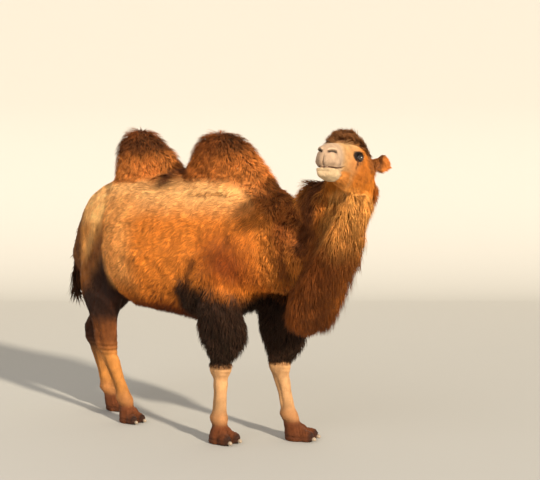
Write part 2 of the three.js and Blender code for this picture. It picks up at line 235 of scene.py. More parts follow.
def array_of(items, name, width, kind=np.float32):
    """One property of a mesh's parts as an array, with a row for each."""
    found = np.empty(len(items) * width, kind)
    items.foreach_get(name, found)
    return found.reshape(-1, width) if width > 1 else found


def keep(mesh, name, values):
    """Stores a number or a colour on each of a mesh's points."""
    if values.ndim == 1:
        mesh.attributes.new(name, "FLOAT", "POINT").data.foreach_set("value", values.astype(np.float32))
        return
    rgba = np.concatenate([values, np.ones((len(values), 1))], axis=1).astype(np.float32)
    mesh.attributes.new(name, "FLOAT_COLOR", "POINT").data.foreach_set("color", rgba.ravel())


# %% [markdown]
# ## Floor
# A floor that rises into a wall behind the animal, as in a photographer's studio.

# %% Floor
def floor_sweep(count=48):
    """A strip swept sideways: flat at first, then a quarter circle of 3 m radius, then a wall."""
    t = np.linspace(0, 1, count)
    flat = np.stack([-30 + 38 * t, np.zeros(count)], axis=1)
    angle = t * math.pi / 2
    bend = np.stack([8 + 3 * np.sin(angle), 3 - 3 * np.cos(angle)], axis=1)
    wall = np.array([[11, 20.0]])
    run = np.concatenate([flat, bend[1:], wall])
    side = np.array([-40.0, 40.0])
    across = np.array([VIEW[1], -VIEW[0]])
    ground = run[:, :1, None] * VIEW + side[None, :, None] * across
    points = np.concatenate([ground, np.repeat(run[:, 1:, None], 2, axis=1)], axis=2).reshape(-1, 3)
    i = np.arange(len(run) - 1) * 2
    return points, np.stack([i, i + 1, i + 3, i + 2], axis=1)


floor_mesh = mesh_from("floor", *floor_sweep())
floor = bpy.data.objects.new("floor", floor_mesh)
bpy.context.scene.collection.objects.link(floor)
floor_paint = bpy.data.materials.new("pale floor")
floor_paint.use_nodes = True
floor_shader = floor_paint.node_tree.nodes["Principled BSDF"]
floor_shader.inputs["Base Color"].default_value = (0.46, 0.44, 0.40, 1)
floor_shader.inputs["Roughness"].default_value = 0.9
floor_mesh.materials.append(floor_paint)
print("faces of the floor:", len(floor_mesh.polygons))

# %% [markdown]
# ## The skin, one surface without a seam
# A real hide is one sheet over the whole animal. The solids are separate and faceted, so their
# copies are joined and voxel remeshed, which melts them into one surface. The head needs a finer
# mesh than the trunk, so it is remeshed apart, and the two are trimmed at the throat and their
# rims are bridged, so the sheet stays whole.

# %% The skin's surface
LEG_NAMES = ("foreleg_right", "foreleg_left", "hindleg_right", "hindleg_left")
HAIR = ("mane", "throat_fringe", "topknot", "tail")
BODY = ("trunk", "neck", "hump_front", "hump_rear", "mane", "throat_fringe", "tail", "head", "lower_jaw")
HEAD = ("head", "lower_jaw", "ear_left", "ear_right", "eye_left", "eye_right", "topknot", "neck", "mane",
        "throat_fringe")
leg_parts = [f"{leg}_{part}" for leg in LEG_NAMES for part in ("upper", "lower", "foot")]
THROAT = 1.6  # the height of the trim
RIM_GAP = 0.012  # between the two rims that are bridged
HEAD_SIDE = 0.75  # only what is ahead of this is trimmed
BODY_VOXEL, HEAD_VOXEL = 0.013, 0.0048


def gathered(names):
    """Copies of the named solids in one mesh, with the corners that meet merged."""
    work = bmesh.new()
    for name in names:
        work.from_mesh(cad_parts[name].data)
    bmesh.ops.remove_doubles(work, verts=work.verts, dist=1e-5)
    mesh = bpy.data.meshes.new("gathered")
    work.to_mesh(mesh)
    work.free()
    return mesh


def applied(mesh, kind, **settings):
    """The mesh after one modifier, which a number from 0 to 1 for each point may weaken."""
    work = bpy.data.objects.new("work", mesh)
    bpy.context.scene.collection.objects.link(work)
    group = settings.pop("group", None)
    if group is not None:
        work.vertex_groups.new(name="group")
        layer = work.vertex_groups["group"]
        for weight in np.unique(group):
            layer.add(np.flatnonzero(group == weight).tolist(), float(weight), "REPLACE")
        settings["vertex_group"] = "group"
    modifier = work.modifiers.new("work", kind)
    for name, value in settings.items():
        setattr(modifier, name, value)
    made = bpy.data.meshes.new_from_object(work.evaluated_get(bpy.context.evaluated_depsgraph_get()))
    bpy.data.objects.remove(work)
    return made


def trimmed(mesh, level, above):
    """The mesh cut level across the throat, without its head, or with nothing but its head."""
    work = bmesh.new()
    work.from_mesh(mesh)
    by_cut = [f for f in work.faces if abs(f.calc_center_median().z - level) < 0.05]
    faces = [f for f in by_cut if f.verts[0].co.x > HEAD_SIDE]
    parts = list({p for f in faces for p in (f, *f.verts, *f.edges)})
    bmesh.ops.bisect_plane(work, geom=parts, plane_co=(0, 0, level), plane_no=(0, 0, 1), dist=1e-6)
    middles = [(f, f.calc_center_median()) for f in work.faces]
    on_head = [f for f, at in middles if at.z > level and at.x > HEAD_SIDE]
    rest = [f for f, at in middles if not (at.z > level and at.x > HEAD_SIDE)]
    bmesh.ops.delete(work, geom=rest if above else on_head, context="FACES")
    return work


body_mesh = applied(gathered([*BODY, *leg_parts]), "REMESH", mode="VOXEL", voxel_size=BODY_VOXEL)
head_mesh = applied(gathered(HEAD), "REMESH", mode="VOXEL", voxel_size=HEAD_VOXEL)
whole = trimmed(body_mesh, THROAT - RIM_GAP, above=False)
top = trimmed(head_mesh, THROAT, above=True)
top_mesh = bpy.data.meshes.new("top")
top.to_mesh(top_mesh)
whole.from_mesh(top_mesh)
bmesh.ops.bridge_loops(whole, edges=[e for e in whole.edges if e.is_boundary])
print("open edges left in the skin:", sum(e.is_boundary for e in whole.edges))
skin_mesh = bpy.data.meshes.new("skin")
whole.to_mesh(skin_mesh)

# %% [markdown]
# ## Regions of the coat
# Hair differs from place to place: a sleeve hangs from the foreleg, a crown stands on each hump
# and down covers the nose. Each region is a mask from 0 to 1 worked out from a point's place, and
# a table gives what its hair is like. Later rows win where masks overlap.

# %% Regions and their hair
def over_thigh(points):
    """Height over the slope where the haunch's hair ends: z - 1.42 - 0.95 (x + 0.78)."""
    return points[:, 2] - 1.42 - 0.95 * (points[:, 0] + 0.78)


def regions(points):
    """A mask for each region: eased steps of height, place along the body, distance from the bone
    lines and place in the head's frame, multiplied where several must hold."""
    x, y, z = points.T
    u, w, v = to_head(points).T
    fore = np.minimum(*(near_line(points, line) for line in FORELEGS))
    hind = np.minimum(*(near_line(points, line) for line in HINDLEGS))
    mask = {}
    mask["back"] = ease(z, 1.45, 1.66) * (1 - ease(x, 0.35, 0.6))
    mask["belly"] = (1 - ease(z, 0.86, 1.02)) * ease(x, -0.75, -0.6) * (1 - ease(x, 0.5, 0.62))
    mask["shoulder"] = ease(x, 0.08, 0.24) * (1 - ease(z, 1.34, 1.50)) * ease(z, 0.90, 1.0)
    behind = ease(along_x(BELLY_FOLD, z) - x, -0.02, 0.03)
    mask["haunch"] = behind * ease(z, 0.95, 1.15)
    mask["hump"] = ease(z, 1.72, 1.79) * (1 - ease(x, 0.56, 0.62))
    mask["neck"] = ease(x, 0.5, 0.66) * ease(z, 0.9, 1.04)
    crest = 1 - ease(near_line(points, MANE[4:]), 0.20, 0.28)
    mask["nape"] = crest * ease(x, 0.88, 0.94) * ease(z, 1.48, 1.56)
    mask["withers"] = (1 - ease(near_line(points, MANE[:4]), 0.12, 0.2)) * ease(x, 0.36, 0.5)
    mask["mane"] = (1 - ease(near_line(points, MANE[3:]), 0.11, 0.165)) * ease(x, 0.74, 0.84)
    mask["mane"] *= 1 - ease(x - 0.25 * (z - 1.3) - 0.8 * ease(y, -0.02, 0.06), 0.87, 0.94)
    mask["fringe"] = (1 - ease(near_line(points, FRINGE), 0.15, 0.21)) * ease(x, 0.66, 0.72)
    leg = 1 - ease(z + 0.35 * (x - 0.15 - 0.19 * ease(y, 0, 0.15)), 1.01, 1.13)
    mask["sleeve"] = (1 - ease(fore, 0.24, 0.30)) * leg * (1 - ease(x, 0.655, 0.68)) * ease(z, 0.50, 0.55)
    mask["shin"] = (1 - ease(fore, 0.15, 0.2)) * (1 - ease(z, 0.50, 0.55))
    low = 1 - ease(over_thigh(points), -0.30, 0.02)
    mask["thigh"] = low * np.maximum(behind, (1 - ease(hind, 0.2, 0.25)) * (1 - ease(z, 0.9, 1.0)))
    mask["thigh"] *= 1 - ease(x, -0.6, -0.5)
    mask["hock"] = (1 - ease(hind, 0.17, 0.22)) * (1 - ease(z, 0.5, 0.62))
    mask["foot"] = 1 - ease(z, 0.115, 0.16)
    mask["tail"] = (1 - ease(near_line(points, TAIL), 0.055, 0.075)) * (1 - ease(x, -1.25, -1.2))
    head = ease(u, -0.06, 0.02) * (1 - ease(abs(w), 0.20, 0.23))
    head = head * ease(v, -0.175, -0.15) * ease(z, 1.62, 1.66)
    mask["cheek"] = head
    mask["face"] = head * ease(u + 0.35 * v, 0.20, 0.30)
    mask["muzzle"] = head * ease(u, 0.37, 0.46)
    mask["jaw"] = head * (1 - ease(v, -0.13, -0.06)) * (1 - ease(u, 0.32, 0.40))
    hairline = np.interp(u, [-0.10, 0, 0.1, 0.2, 0.28, 0.34], [0.02, 0.07, 0.10, 0.118, 0.112, 0.10])
    between_ears = 1 - ease(abs(w), 0.12, 0.14)
    mask["topknot"] = ease(v - hairline, 0, 0.022) * (1 - ease(u, 0.345, 0.37)) * between_ears
    mask["topknot"] *= ease(u, -0.12, -0.07) * ease(z, 1.75, 1.8)
    mask["ruff"] = head * (1 - ease(u, 0.10, 0.17)) * ease(v, -0.03, 0.03) * (1 - mask["topknot"])
    mask["ear"] = head * ease(abs(w), 0.098, 0.118) * (1 - ease(u, 0.06, 0.10)) * ease(v, -0.01, 0.01)
    return mask


# length, width, stand in radians, and how many tufts to a square metre
COAT = {
    "trunk": (0.042, 0.0052, 0.38, 18000),
    "back": (0.038, 0.0052, 0.36, 18000),
    "belly": (0.048, 0.0054, 0.38, 16500),
    "shoulder": (0.036, 0.0048, 0.34, 20000),
    "haunch": (0.026, 0.0044, 0.28, 23000),
    "hump": (0.095, 0.0052, 0.52, 21000),
    "neck": (0.080, 0.0050, 0.36, 21000),
    "nape": (0.070, 0.0050, 0.56, 27000),
    "withers": (0.080, 0.0056, 0.50, 19000),
    "mane": (0.105, 0.0055, 0.55, 19000),
    "fringe": (0.145, 0.0050, 0.34, 23000),
    "sleeve": (0.090, 0.0064, 0.34, 14000),
    "shin": (0.012, 0.0032, 0.24, 34000),
    "thigh": (0.024, 0.0044, 0.28, 24000),
    "hock": (0.014, 0.0034, 0.26, 30000),
    "foot": (0.012, 0.0032, 0.28, 34000),
    "tail": (0.130, 0.0080, 0.20, 14000),
    "cheek": (0.024, 0.0032, 0.36, 60000),
    "face": (0.012, 0.0026, 0.28, 80000),
    "jaw": (0.042, 0.0038, 0.34, 46000),
    "muzzle": (0.006, 0.0018, 0.24, 70000),
    "topknot": (0.062, 0.0040, 0.72, 44000),
    "ruff": (0.050, 0.0036, 0.50, 48000),
    "ear": (0.020, 0.0030, 0.32, 66000),
}


def blended(points, table, start="trunk"):
    """The table's values at each point: the trunk's row, then each region's row mixed over it by
    its mask, in order."""
    value = np.tile(np.array(table[start], float), (len(points), 1))
    for name, mask in regions(points).items():
        if name in table:
            value += mask[:, None] * (np.array(table[name]) - value)
    return value


def coat_at(points):
    """The coat's numbers at each point, with hair that is cut short where fringe and sleeves end, and
    closer and more upright in the hollow of the throat, where the skin would show."""
    value = blended(points, COAT)
    mask = regions(points)
    z = points[:, 2]
    value[:, 0] *= 1 - 0.60 * mask["fringe"] * (1 - ease(z, 0.74, 1.00))
    value[:, 0] *= 1 - 0.45 * mask["sleeve"] * (1 - ease(z, 0.52, 0.66))
    throat = ease(z, 1.50, 1.58) * ease(points[:, 0], 0.95, 1.05) * (1 - mask["cheek"])
    value[:, 0] += throat * (np.minimum(value[:, 0], 0.085) - value[:, 0])
    value[:, 2] += 0.16 * throat
    value[:, 3] *= 1 + 0.35 * throat
    return value


print("regions:", len(regions(HEAD_AT[None])), "kinds of hair:", len(COAT))

# %% [markdown]
# ## Lines of the face
# The mouth's line and the slits of the nostrils are painted, carved and kept free of hair, so each
# is a curve in the head's frame that later steps measure from. A curve costs nothing to move,
# which a cut in a mesh would.

# %% Lines of the face
def mouth_height(u):
    """The mouth's height along the head: it falls from its corner and climbs again under the nose."""
    places = [0.37, 0.40, 0.44, 0.48, 0.55, 0.575]
    return np.interp(u, places, [-0.040, -0.050, -0.060, -0.068, -0.077, -0.068])


def nose_side(w, v):
    """Distance from the middle of the nose, which leans a little to the left towards the top."""
    return w - 0.13 * np.clip(v + 0.05, 0, 0.09)


NOSTRIL = [[0, 0.022, 0.012], [0, 0.030, 0.018], [0, 0.043, 0.021], [0, 0.057, 0.015]]


def nostril_gap(local):
    """Distance from the slit of a nostril, seen from ahead: a chain of points on either side."""
    aside = np.abs(nose_side(local[:, 1], local[:, 2]))
    flat = np.stack([np.zeros(len(local)), aside, local[:, 2]], axis=1)
    return near_line(flat, NOSTRIL) + 0.1 * (1 - ease(local[:, 0], 0.46, 0.50))


print("the mouth is", round(-1000 * float(mouth_height(0.55))), "mm under the skull's axis at the lips")

# %% [markdown]
# ## Markings
# The coat is ginger, with dark crowns on the humps, a dark mane and sleeves, sandy shins and a
# pale nose. Painted light brightens places where the sun falls, and painted shade darkens folds,
# the belly, the thighs and the far hind leg. The same function colours the skin and the tufts,
# so that both always agree. It works in the linear light that shaders use.

# %% Markings
def linear(red, green, blue):
    """A screen colour from 0 to 255 as linear light: ((c + 0.055) / 1.055) ^ 2.4."""
    return ((np.array([red, green, blue]) / 255 + 0.055) / 1.055) ** 2.4


COLOUR = {
    "trunk": linear(216, 124, 42),
    "back": linear(240, 176, 106),
    # the belly's dark shade is partly its hair and partly painted shade of its underside
    "belly": linear(132, 60, 13),
    "shoulder": linear(208, 116, 36),
    "haunch": linear(222, 148, 72),
    "hump": linear(202, 116, 48),
    "neck": linear(234, 140, 54),
    "withers": linear(208, 120, 52),
    "mane": linear(122, 66, 28),
    "fringe": linear(144, 76, 25),
    "sleeve": linear(48, 26, 13),
    "shin": linear(182, 136, 90),
    # the thighs' near-black is partly dark hair and partly the belly's painted shadow
    "thigh": linear(46, 22, 9),
    "hock": linear(176, 114, 52),
    "foot": linear(98, 50, 20),
    "tail": linear(66, 40, 24),
    "cheek": linear(190, 109, 28),
    "face": linear(184, 142, 92),
    "muzzle": linear(170, 140, 112),
    "topknot": linear(140, 88, 48),
    "ruff": linear(158, 92, 40),
    "ear": linear(160, 100, 52),
}


def wander(points, size, seed):
    """A smooth number from about -1 to 1 that wanders over a distance of size: the mean of
    sines of the place along six set directions, each with its own phase."""
    source = np.random.default_rng(seed)
    ways = source.normal(size=(6, 3))
    ways /= np.linalg.norm(ways, axis=1)[:, None]
    pace = source.uniform(0.7, 1.6, 6) * 2 * math.pi / size
    phase = source.uniform(0, 2 * math.pi, 6)
    return np.sin(points @ (ways * pace[:, None]).T + phase).sum(1) / 2.4


print("shades of the regions:", len(COLOUR))

# %% [markdown]
# ## Marks over the regions
# A mark is a shade and its share, from 0 to 1, at each point, worked out from places as the
# regions are. It is laid over what is there already, so a later mark covers an earlier one. Last
# comes a grain that wanders, because no coat is even.

# %% Marks over the regions
NAIL_AT = [np.array(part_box(name)).mean(0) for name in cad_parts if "nail" in name]


def near_bones(points, lines, reach):
    """1 along the given bone lines, easing to 0 at a distance of reach."""
    return 1 - ease(np.minimum(*(near_line(points, line) for line in lines)), reach * 0.8, reach)


def mark_trunk(points, mask, lay):
    """Marks of humps, shoulders, flanks and haunches, each laid over the last."""
    x, y, z = points.T
    right = on_right(points)
    behind_neck = 1 - ease(x, 0.6, 0.7)
    lay((82, 40, 15), ease(z, 1.88, 2.0) * behind_neck * 0.85)  # dark crowns of the humps
    lay((176, 88, 34), ease(z, 2.03, 2.09) * behind_neck * 0.35)  # painted light on the hump tips, whose edges catch the sun
    elbow = np.hypot((x - 0.36 + 0.2 * (z - 1.2)) / 0.20, (z - 1.20) / 0.22)
    lay((126, 52, 11), (1 - ease(elbow, 0.0, 1.5)) * ease(z, 1.0, 1.10) * 0.9)  # red-brown elbow
    # painted shade along the fold where the neck meets the shoulder
    neck_fold = x - np.interp(z, [1.15, 1.50], [0.72, 0.66])
    lay((118, 56, 16), bell(neck_fold, 0.055) * band(z, 1.08, 1.2, 1.46, 1.58) * 0.8)
    lay((62, 28, 10), bell(near_line(right, ELBOW_FOLD), 0.035) * 0.85)  # painted shade in the crease behind the elbow
    lay((92, 48, 22), bell(x + 0.24, 0.085) * band(z, 1.66, 1.72, 1.84, 1.9))  # between the humps: partly dark hair, partly painted shade in the dip
    lay((92, 42, 12), band(z, 0.76, 0.80, 0.84, 0.93) * band(x, -0.8, -0.6, 0.1, 0.2))  # painted shade under the belly
    lay((244, 166, 88), band(x, -0.80, -0.70, -0.50, -0.30) * band(z, 0.95, 1.1, 1.6, 1.7) * 0.75)  # flank
    lay((250, 190, 116), band(z, 1.38, 1.5, 1.68, 1.76) * (1 - ease(x, -0.86, -0.74)) * 0.8)  # rump
    lay((226, 136, 62), band(z, 1.70, 1.76, 1.86, 1.98) * (1 - ease(x, -0.36, -0.28)) * 0.8)  # rear hump
    # painted light on the sunward front of the front hump and the withers before it
    lay((228, 136, 60), band(x, 0.16, 0.36, 0.6, 0.66) * band(z, 1.66, 1.72, 1.84, 1.96) * 0.7)
    lay((158, 82, 28), band(x, -0.26, -0.16, 0.06, 0.2) * ease(z, 1.72, 1.8) * 0.5)  # front hump's rear
    hip = near_line(right, [[-0.80, -0.15, 1.55], [-0.89, -0.17, 1.42], [-0.98, -0.17, 1.25]])
    lay((240, 184, 108), bell(hip, 0.055) * 0.6)  # painted light: a sunlit strip down the haunch
    lay((128, 68, 26), bell(over_thigh(points) + 0.10, 0.10) * mask["haunch"] * 0.8)  # above the thigh: darker hair and the belly's painted shadow
    lay((96, 50, 22), (1 - ease(x, -1.13, -1.03)) * band(z, 0.95, 1.1, 1.5, 1.62) * 0.85)  # rear edge


def mark_legs(points, lay):
    """Marks of gaskins, fetlocks and feet, and painted shade on the left hind leg."""
    y, z = points[:, 1], points[:, 2]
    by_hind = near_bones(points, HINDLEGS, 0.2)
    lay((124, 68, 26), by_hind * band(z, 0.45, 0.55, 0.66, 0.80) * 0.85)  # gaskins
    lay((150, 98, 56), band(z, 0.10, 0.15, 0.17, 0.26) * 0.7)  # fetlocks
    toe = np.min([np.linalg.norm(points - at - [0, 0, 0.012], axis=1) for at in NAIL_AT], axis=0)
    lay((34, 17, 8), (1 - ease(toe, 0.028, 0.060)) * 0.9)
    # painted shade: the left hind leg, on the far side from the sun, is darker
    lay((52, 24, 8), by_hind * band(z, 0.25, 0.5, 0.8, 0.95) * ease(y, 0.05, 0.12) * 0.85)
    lay((70, 36, 16), bell(z - 0.03, 0.012) * 0.5)  # painted shade round the feet where the soles meet the floor


def mark_throat(points, lay):
    """Marks of the fringe's front, lighter with painted light, and its dark sides, and of the golden throat,
    partly painted light.
    """
    x, y, z = points.T
    u, w, v = to_head(points).T
    below_lips = 1 - ease(u, 0.30, 0.42)
    ahead = x - along_x(FRINGE, z)
    # painted light on the front of the fringe, which faces the sun
    lay((212, 122, 44), ease(ahead, 0.02, 0.10) * ease(z, 0.95, 1.15) * below_lips * 0.75)
    lay((132, 68, 22), bell(ahead + 0.07, 0.09) * band(z, 1.16, 1.28, 1.42, 1.54) * 0.7)
    # the golden throat is partly its hair and partly painted light where the sun falls under the jaw
    throat = ease(z, 1.30, 1.62) * ease(x, 0.98, 1.07) * below_lips * (1 - ease(v, -0.14, -0.10))
    lay((246, 168, 82), throat * (0.85 + 0.15 * wander(points, 0.06, 5)))


def mark_face(points, lay):
    """Marks of lips, nostrils, ears and eyes."""
    local = to_head(points)
    u, w, v = local.T
    side = np.abs(w)
    # the colour of the lips starts about a millimetre under the line that is carved for the mouth
    mouth = np.interp(u, [0.37, 0.40, 0.48, 0.55, 0.575], [-0.04, -0.051, -0.069, -0.078, -0.068])
    below = mouth - v
    to_lips = u + 0.3 * (v + 0.06)
    lay((196, 166, 126), ease(below, 0, 0.006) * ease(to_lips, 0.39, 0.43))  # pale lower lip
    lay((196, 122, 52), ease(below, 0.01, 0.03) * (1 - ease(to_lips, 0.37, 0.42)) * (u > 0.3))
    lay((120, 84, 62), bell(below, 0.0045) * ease(u, 0.38, 0.41) * ease(v, -0.12, -0.10) * 0.8)
    # painted shade inside the slits of the nostrils
    lay((34, 18, 12), bell(nostril_gap(local), 0.0078) * 1.5)
    lay((232, 196, 160), bell(nostril_gap(local - [0, 0, 0.013]), 0.008) * 0.4)  # pale rims above them
    ear_root = band(side, 0.10, 0.108, 0.118, 0.132) * ease(v, -0.03, 0) * (1 - ease(u, 0.06, 0.09))
    lay((66, 34, 15), ear_root * 0.7)
    eye_gap = np.hypot((u - 0.252) / 1.75, v - 0.046)
    lay((34, 18, 11), (1 - ease(eye_gap, 0.026, 0.038)) * ease(side, 0.05, 0.06))
    tear = np.hypot((u - 0.262 - 0.25 * (0.02 - v)) / 0.012, (v - 0.004) / 0.040)
    lay((84, 42, 18), (1 - ease(tear, 0.5, 1.2)) * ease(side, 0.05, 0.06) * 0.95)


def markings(points):
    """The colour of the coat at each point: its region's, under marks that are laid one over
    another, times a grain that wanders."""
    mask = regions(points)
    colour = blended(points, COLOUR)

    def lay(shade, share):
        colour[:] += np.clip(share, 0, 1)[:, None] * (linear(*shade) - colour)

    mark_trunk(points, mask, lay)
    mark_legs(points, lay)
    mark_throat(points, lay)
    mark_face(points, lay)
    woolly = 1 - np.maximum.reduce([mask[name] for name in ("cheek", "shin", "hock", "foot")])
    grain = 0.09 * wander(points, 0.22, 1) + 0.08 * wander(points, 0.07, 2)
    grain += 0.16 * wander(points * [1, 1, 0.45], 0.045, 3) * woolly
    return np.clip(colour * (1 + grain)[:, None], 0.002, 0.95)


print("a trunk's colour in linear light:", markings(np.array([[-0.3, -0.3, 1.3]]))[0].round(3))

# %% [markdown]
# ## Smoothing the skin and setting it under the coat
# The facets of the solids are wider than the new mesh's faces, so every point moves towards the
# mean of its neighbours a few times, less on the legs and head, which would thin. Flat parts of
# the trunk can do with fewer faces, and nose, eyes and lower legs get more, for the fine forms
# that follow. Last, each point sinks along its normal by the coat's depth.

# %% Smoothing, thinning and sinking
def blur(values, edges, rounds, share=0.5):
    """Each round moves every value by share of the way to the mean of its neighbours' values."""
    count = len(values)
    a, b = edges.T
    weight = np.bincount(a, minlength=count) + np.bincount(b, minlength=count)
    share = np.broadcast_to(share, count)[:, None]
    for _ in range(rounds):
        total = np.stack([np.bincount(a, column[b], count) + np.bincount(b, column[a], count)
                          for column in values.T], axis=1)
        values = values + share * (total / weight[:, None] - values)
    return values


def settle(mesh, rounds, share):
    """Smooths a mesh without thinning it: a round inwards, then a slightly larger one outwards."""
    points = array_of(mesh.vertices, "co", 3).astype(float)
    edges = array_of(mesh.edges, "vertices", 2, np.int32)
    for _ in range(rounds):
        points = blur(points, edges, 1, share)
        points = blur(points, edges, 1, -0.96 * share)
    points = blur(points, edges, 3, 0.5 * share)
    mesh.vertices.foreach_set("co", points.astype(np.float32).ravel())
    mesh.update()
    return points


points = array_of(skin_mesh.vertices, "co", 3).astype(float)
mask = regions(points)
fine = np.maximum.reduce([mask["cheek"], mask["foot"]])
slim = np.maximum.reduce([mask["shin"], mask["hock"], mask["tail"]])
points = settle(skin_mesh, 26, 0.6 * (1 - 0.55 * slim) * (1 - 0.6 * fine) * (1 - 0.85 * mask["ear"]))

mask = regions(points)
detailed = [mask["cheek"] * (1 - mask["topknot"]), mask["foot"], mask["shin"], mask["hock"]]
plain = 1 - np.maximum.reduce(detailed)
thinned = applied(skin_mesh, "DECIMATE", decimate_type="COLLAPSE", ratio=0.36,
                  group=np.round(plain * 4) / 4, vertex_group_factor=1.0)


def refined(mesh, wanted):
    """The mesh with each edge between two wanted points halved, and its faces split to match."""
    work = bmesh.new()
    work.from_mesh(mesh)
    work.verts.ensure_lookup_table()
    halved = [e for e in work.edges if wanted[e.verts[0].index] and wanted[e.verts[1].index]]
    bmesh.ops.subdivide_edges(work, edges=halved, cuts=1, use_grid_fill=True)
    bmesh.ops.triangulate(work, faces=work.faces)
    work.to_mesh(mesh)
    work.free()
    return mesh


local = to_head(array_of(thinned.vertices, "co", 3).astype(float))
on_nose = (local[:, 0] > 0.40) & (np.abs(local[:, 1]) < 0.12) & (np.abs(local[:, 2]) < 0.18)
near_foot = array_of(thinned.vertices, "co", 3)[:, 2] < 0.60
by_eye = np.linalg.norm((folded(local) - [0.24, 0.08, 0.03]) / [1.3, 1, 1.2], axis=1)
skin_mesh = refined(thinned, on_nose | (by_eye < 0.05) | near_foot)
skin_mesh.name = "skin"
edges = array_of(skin_mesh.edges, "vertices", 2, np.int32)
points = array_of(skin_mesh.vertices, "co", 3).astype(float)
normals = blur(array_of(skin_mesh.vertex_normals, "vector", 3).astype(float), edges, 3)
normals /= np.linalg.norm(normals, axis=1)[:, None]
hair = coat_at(points)
depth = blur(0.75 * hair[:, :1] * np.sin(hair[:, 2:3]), edges, 8)  # the height of the tips over the skin
points = points - normals * depth
print("skin triangles:", sum(len(p.vertices) - 2 for p in skin_mesh.polygons))

# %% [markdown]
# ## Features of the face
# The head is what people look at first. The muzzle is moulded by moving its points in the head's
# frame. Nostrils, the split of the upper lip and the line of the mouth are grooves: each point
# moves in along its normal by a depth that falls off as a bell with its distance from a curve.
# Brow, cheek and lips are swells made the same way. Sockets sink where the eyes sit.

# %% Features of the face
EYE_AT = {side: np.array(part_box("eye_" + side)).mean(0) for side in ("left", "right")}
EYE_RADIUS = 0.022  # the solid's
BALL_RADIUS = 0.0213  # the ball is a little smaller, to lie under its lids
EYE_LOOK = np.array([0.54, 0.83, 0.12])  # the left eye's axis in the head's frame
EYE_LOOK /= np.linalg.norm(EYE_LOOK)


def muzzle_form(points):
    """Points of the muzzle moved in the head's frame: the nose narrows towards its top, the lower
    lip is drawn back and up under the upper one, and the upper lip hangs a little ahead of it.
    Ears are broadened from their middle line."""
    local = to_head(points)
    u, w, v = local.T
    on_head = regions(points)["cheek"]
    under = ease(mouth_height(u) - v, 0.002, 0.03) * ease(u, 0.36, 0.46) * on_head
    top = ease(v, -0.02, 0.07) * ease(u, 0.42, 0.52) * on_head
    front = bell(v - mouth_height(u) - 0.030, 0.030) * ease(u, 0.46, 0.54) * on_head
    moved = np.zeros_like(local)
    moved[:, 0] = 0.007 * front - 0.007 * under
    moved[:, 1] = w * (-0.16 * top - 0.08 * under) - 0.006 * top
    ear = on_head * ease(np.abs(w), 0.09, 0.12) * (1 - ease(u, 0.07, 0.10))
    moved[:, 2] += ear * (1 - ease(np.abs(w), 0.15, 0.18)) * 0.45 * (v - 0.052)
    return points + moved @ HEAD_AXES


def carve(points):
    """How far each point of the skin moves out along its normal, in metres."""
    local = to_head(points)
    u, w, v = local.T
    on_head = regions(points)["cheek"]
    middle = np.abs(nose_side(w, v))
    side = np.abs(w)
    out = -0.0140 * bell(nostril_gap(local), 0.0058)
    out += 0.0060 * bell(nostril_gap(local - [0, 0, 0.014]), 0.008)  # rims above the nostrils
    lips = ease(u, 0.375, 0.40)
    gap = v - mouth_height(u)
    out -= 0.0090 * bell(gap, 0.0042) * lips
    out += 0.0040 * bell(gap - 0.010, 0.007) * lips + 0.0040 * bell(gap + 0.012, 0.009) * lips
    out += 0.0110 * bell(gap - 0.028, 0.026) * ease(u, 0.42, 0.50)  # upper lip
    out += 0.0110 * bell(gap + 0.040, 0.022) * ease(u, 0.42, 0.48) * bell(w, 0.055)  # chin
    out -= 0.0080 * bell(gap + 0.075, 0.018) * ease(u, 0.40, 0.48) * ease(side, 0.02, 0.05)
    out -= 0.0120 * bell(u - 0.385 + 0.2 * (v + 0.10), 0.022) * ease(-gap, 0.03, 0.06)  # behind the chin
    split = ease(u, 0.50, 0.53) * ease(v, -0.09, -0.075) * (1 - ease(v, -0.055, 0.01))
    out -= 0.0090 * bell(middle, 0.0032 + 0.05 * np.clip(-0.045 - v, 0, 0.04)) * split
    out += 0.0030 * bell(middle - 0.016, 0.010) * split
    out -= 0.006 * bell(np.hypot(u - 0.36, v - 0.02), 0.045) * ease(side, 0.02, 0.04)  # hollow of the nose
    out += 0.006 * bell(np.hypot((u - 0.205) / 1.5, v + 0.045), 0.035) * ease(side, 0.04, 0.06)  # cheek
    out += 0.0070 * bell(np.hypot((u - 0.225) / 1.8, v - 0.084), 0.016) * ease(side, 0.04, 0.06)  # brow
    out += 0.0030 * bell(np.hypot((u - 0.240) / 1.6, v - 0.010), 0.009) * ease(side, 0.05, 0.07)
    for place in (0.430, 0.455, 0.478):  # short creases behind the nostrils
        crease = 0.0014 * bell(u - place - 0.25 * (0.03 - v), 0.0035)
        out -= crease * ease(v, -0.03, 0) * (1 - ease(v, 0.05, 0.07))
    return out * on_head


def socket(points):
    """How far each point sinks along an eye's axis: a bowl that the lids bridge."""
    local = to_head(points)
    sink = np.zeros((len(points), 3))
    for side, sign in (("left", 1), ("right", -1)):
        axis = EYE_LOOK * [1, sign, 1]
        gap = local - to_head(EYE_AT[side][None])[0]
        along = gap @ axis
        aside = np.linalg.norm((gap - along[:, None] * axis) / [1.2, 1.2, 0.95], axis=1)
        bowl = (1 - ease(aside, 0.0165, 0.0265)) * (along > 0)
        sink -= (bowl * np.maximum(along - 0.002, 0))[:, None] * (axis @ HEAD_AXES)
    return sink


print("middles of the eyes, metres high:", [round(float(at[2]), 3) for at in EYE_AT.values()])

# %% [markdown]
# ## Bones and folds under the hide
# The legs' hair is short, so knees, hocks, tendons and toes show through it. The trunk is lumpy,
# with deep creases behind the elbows and over the thighs. Each of these is again a bell of the
# distance from a place or a line, and all are added up before the skin moves along its normals.

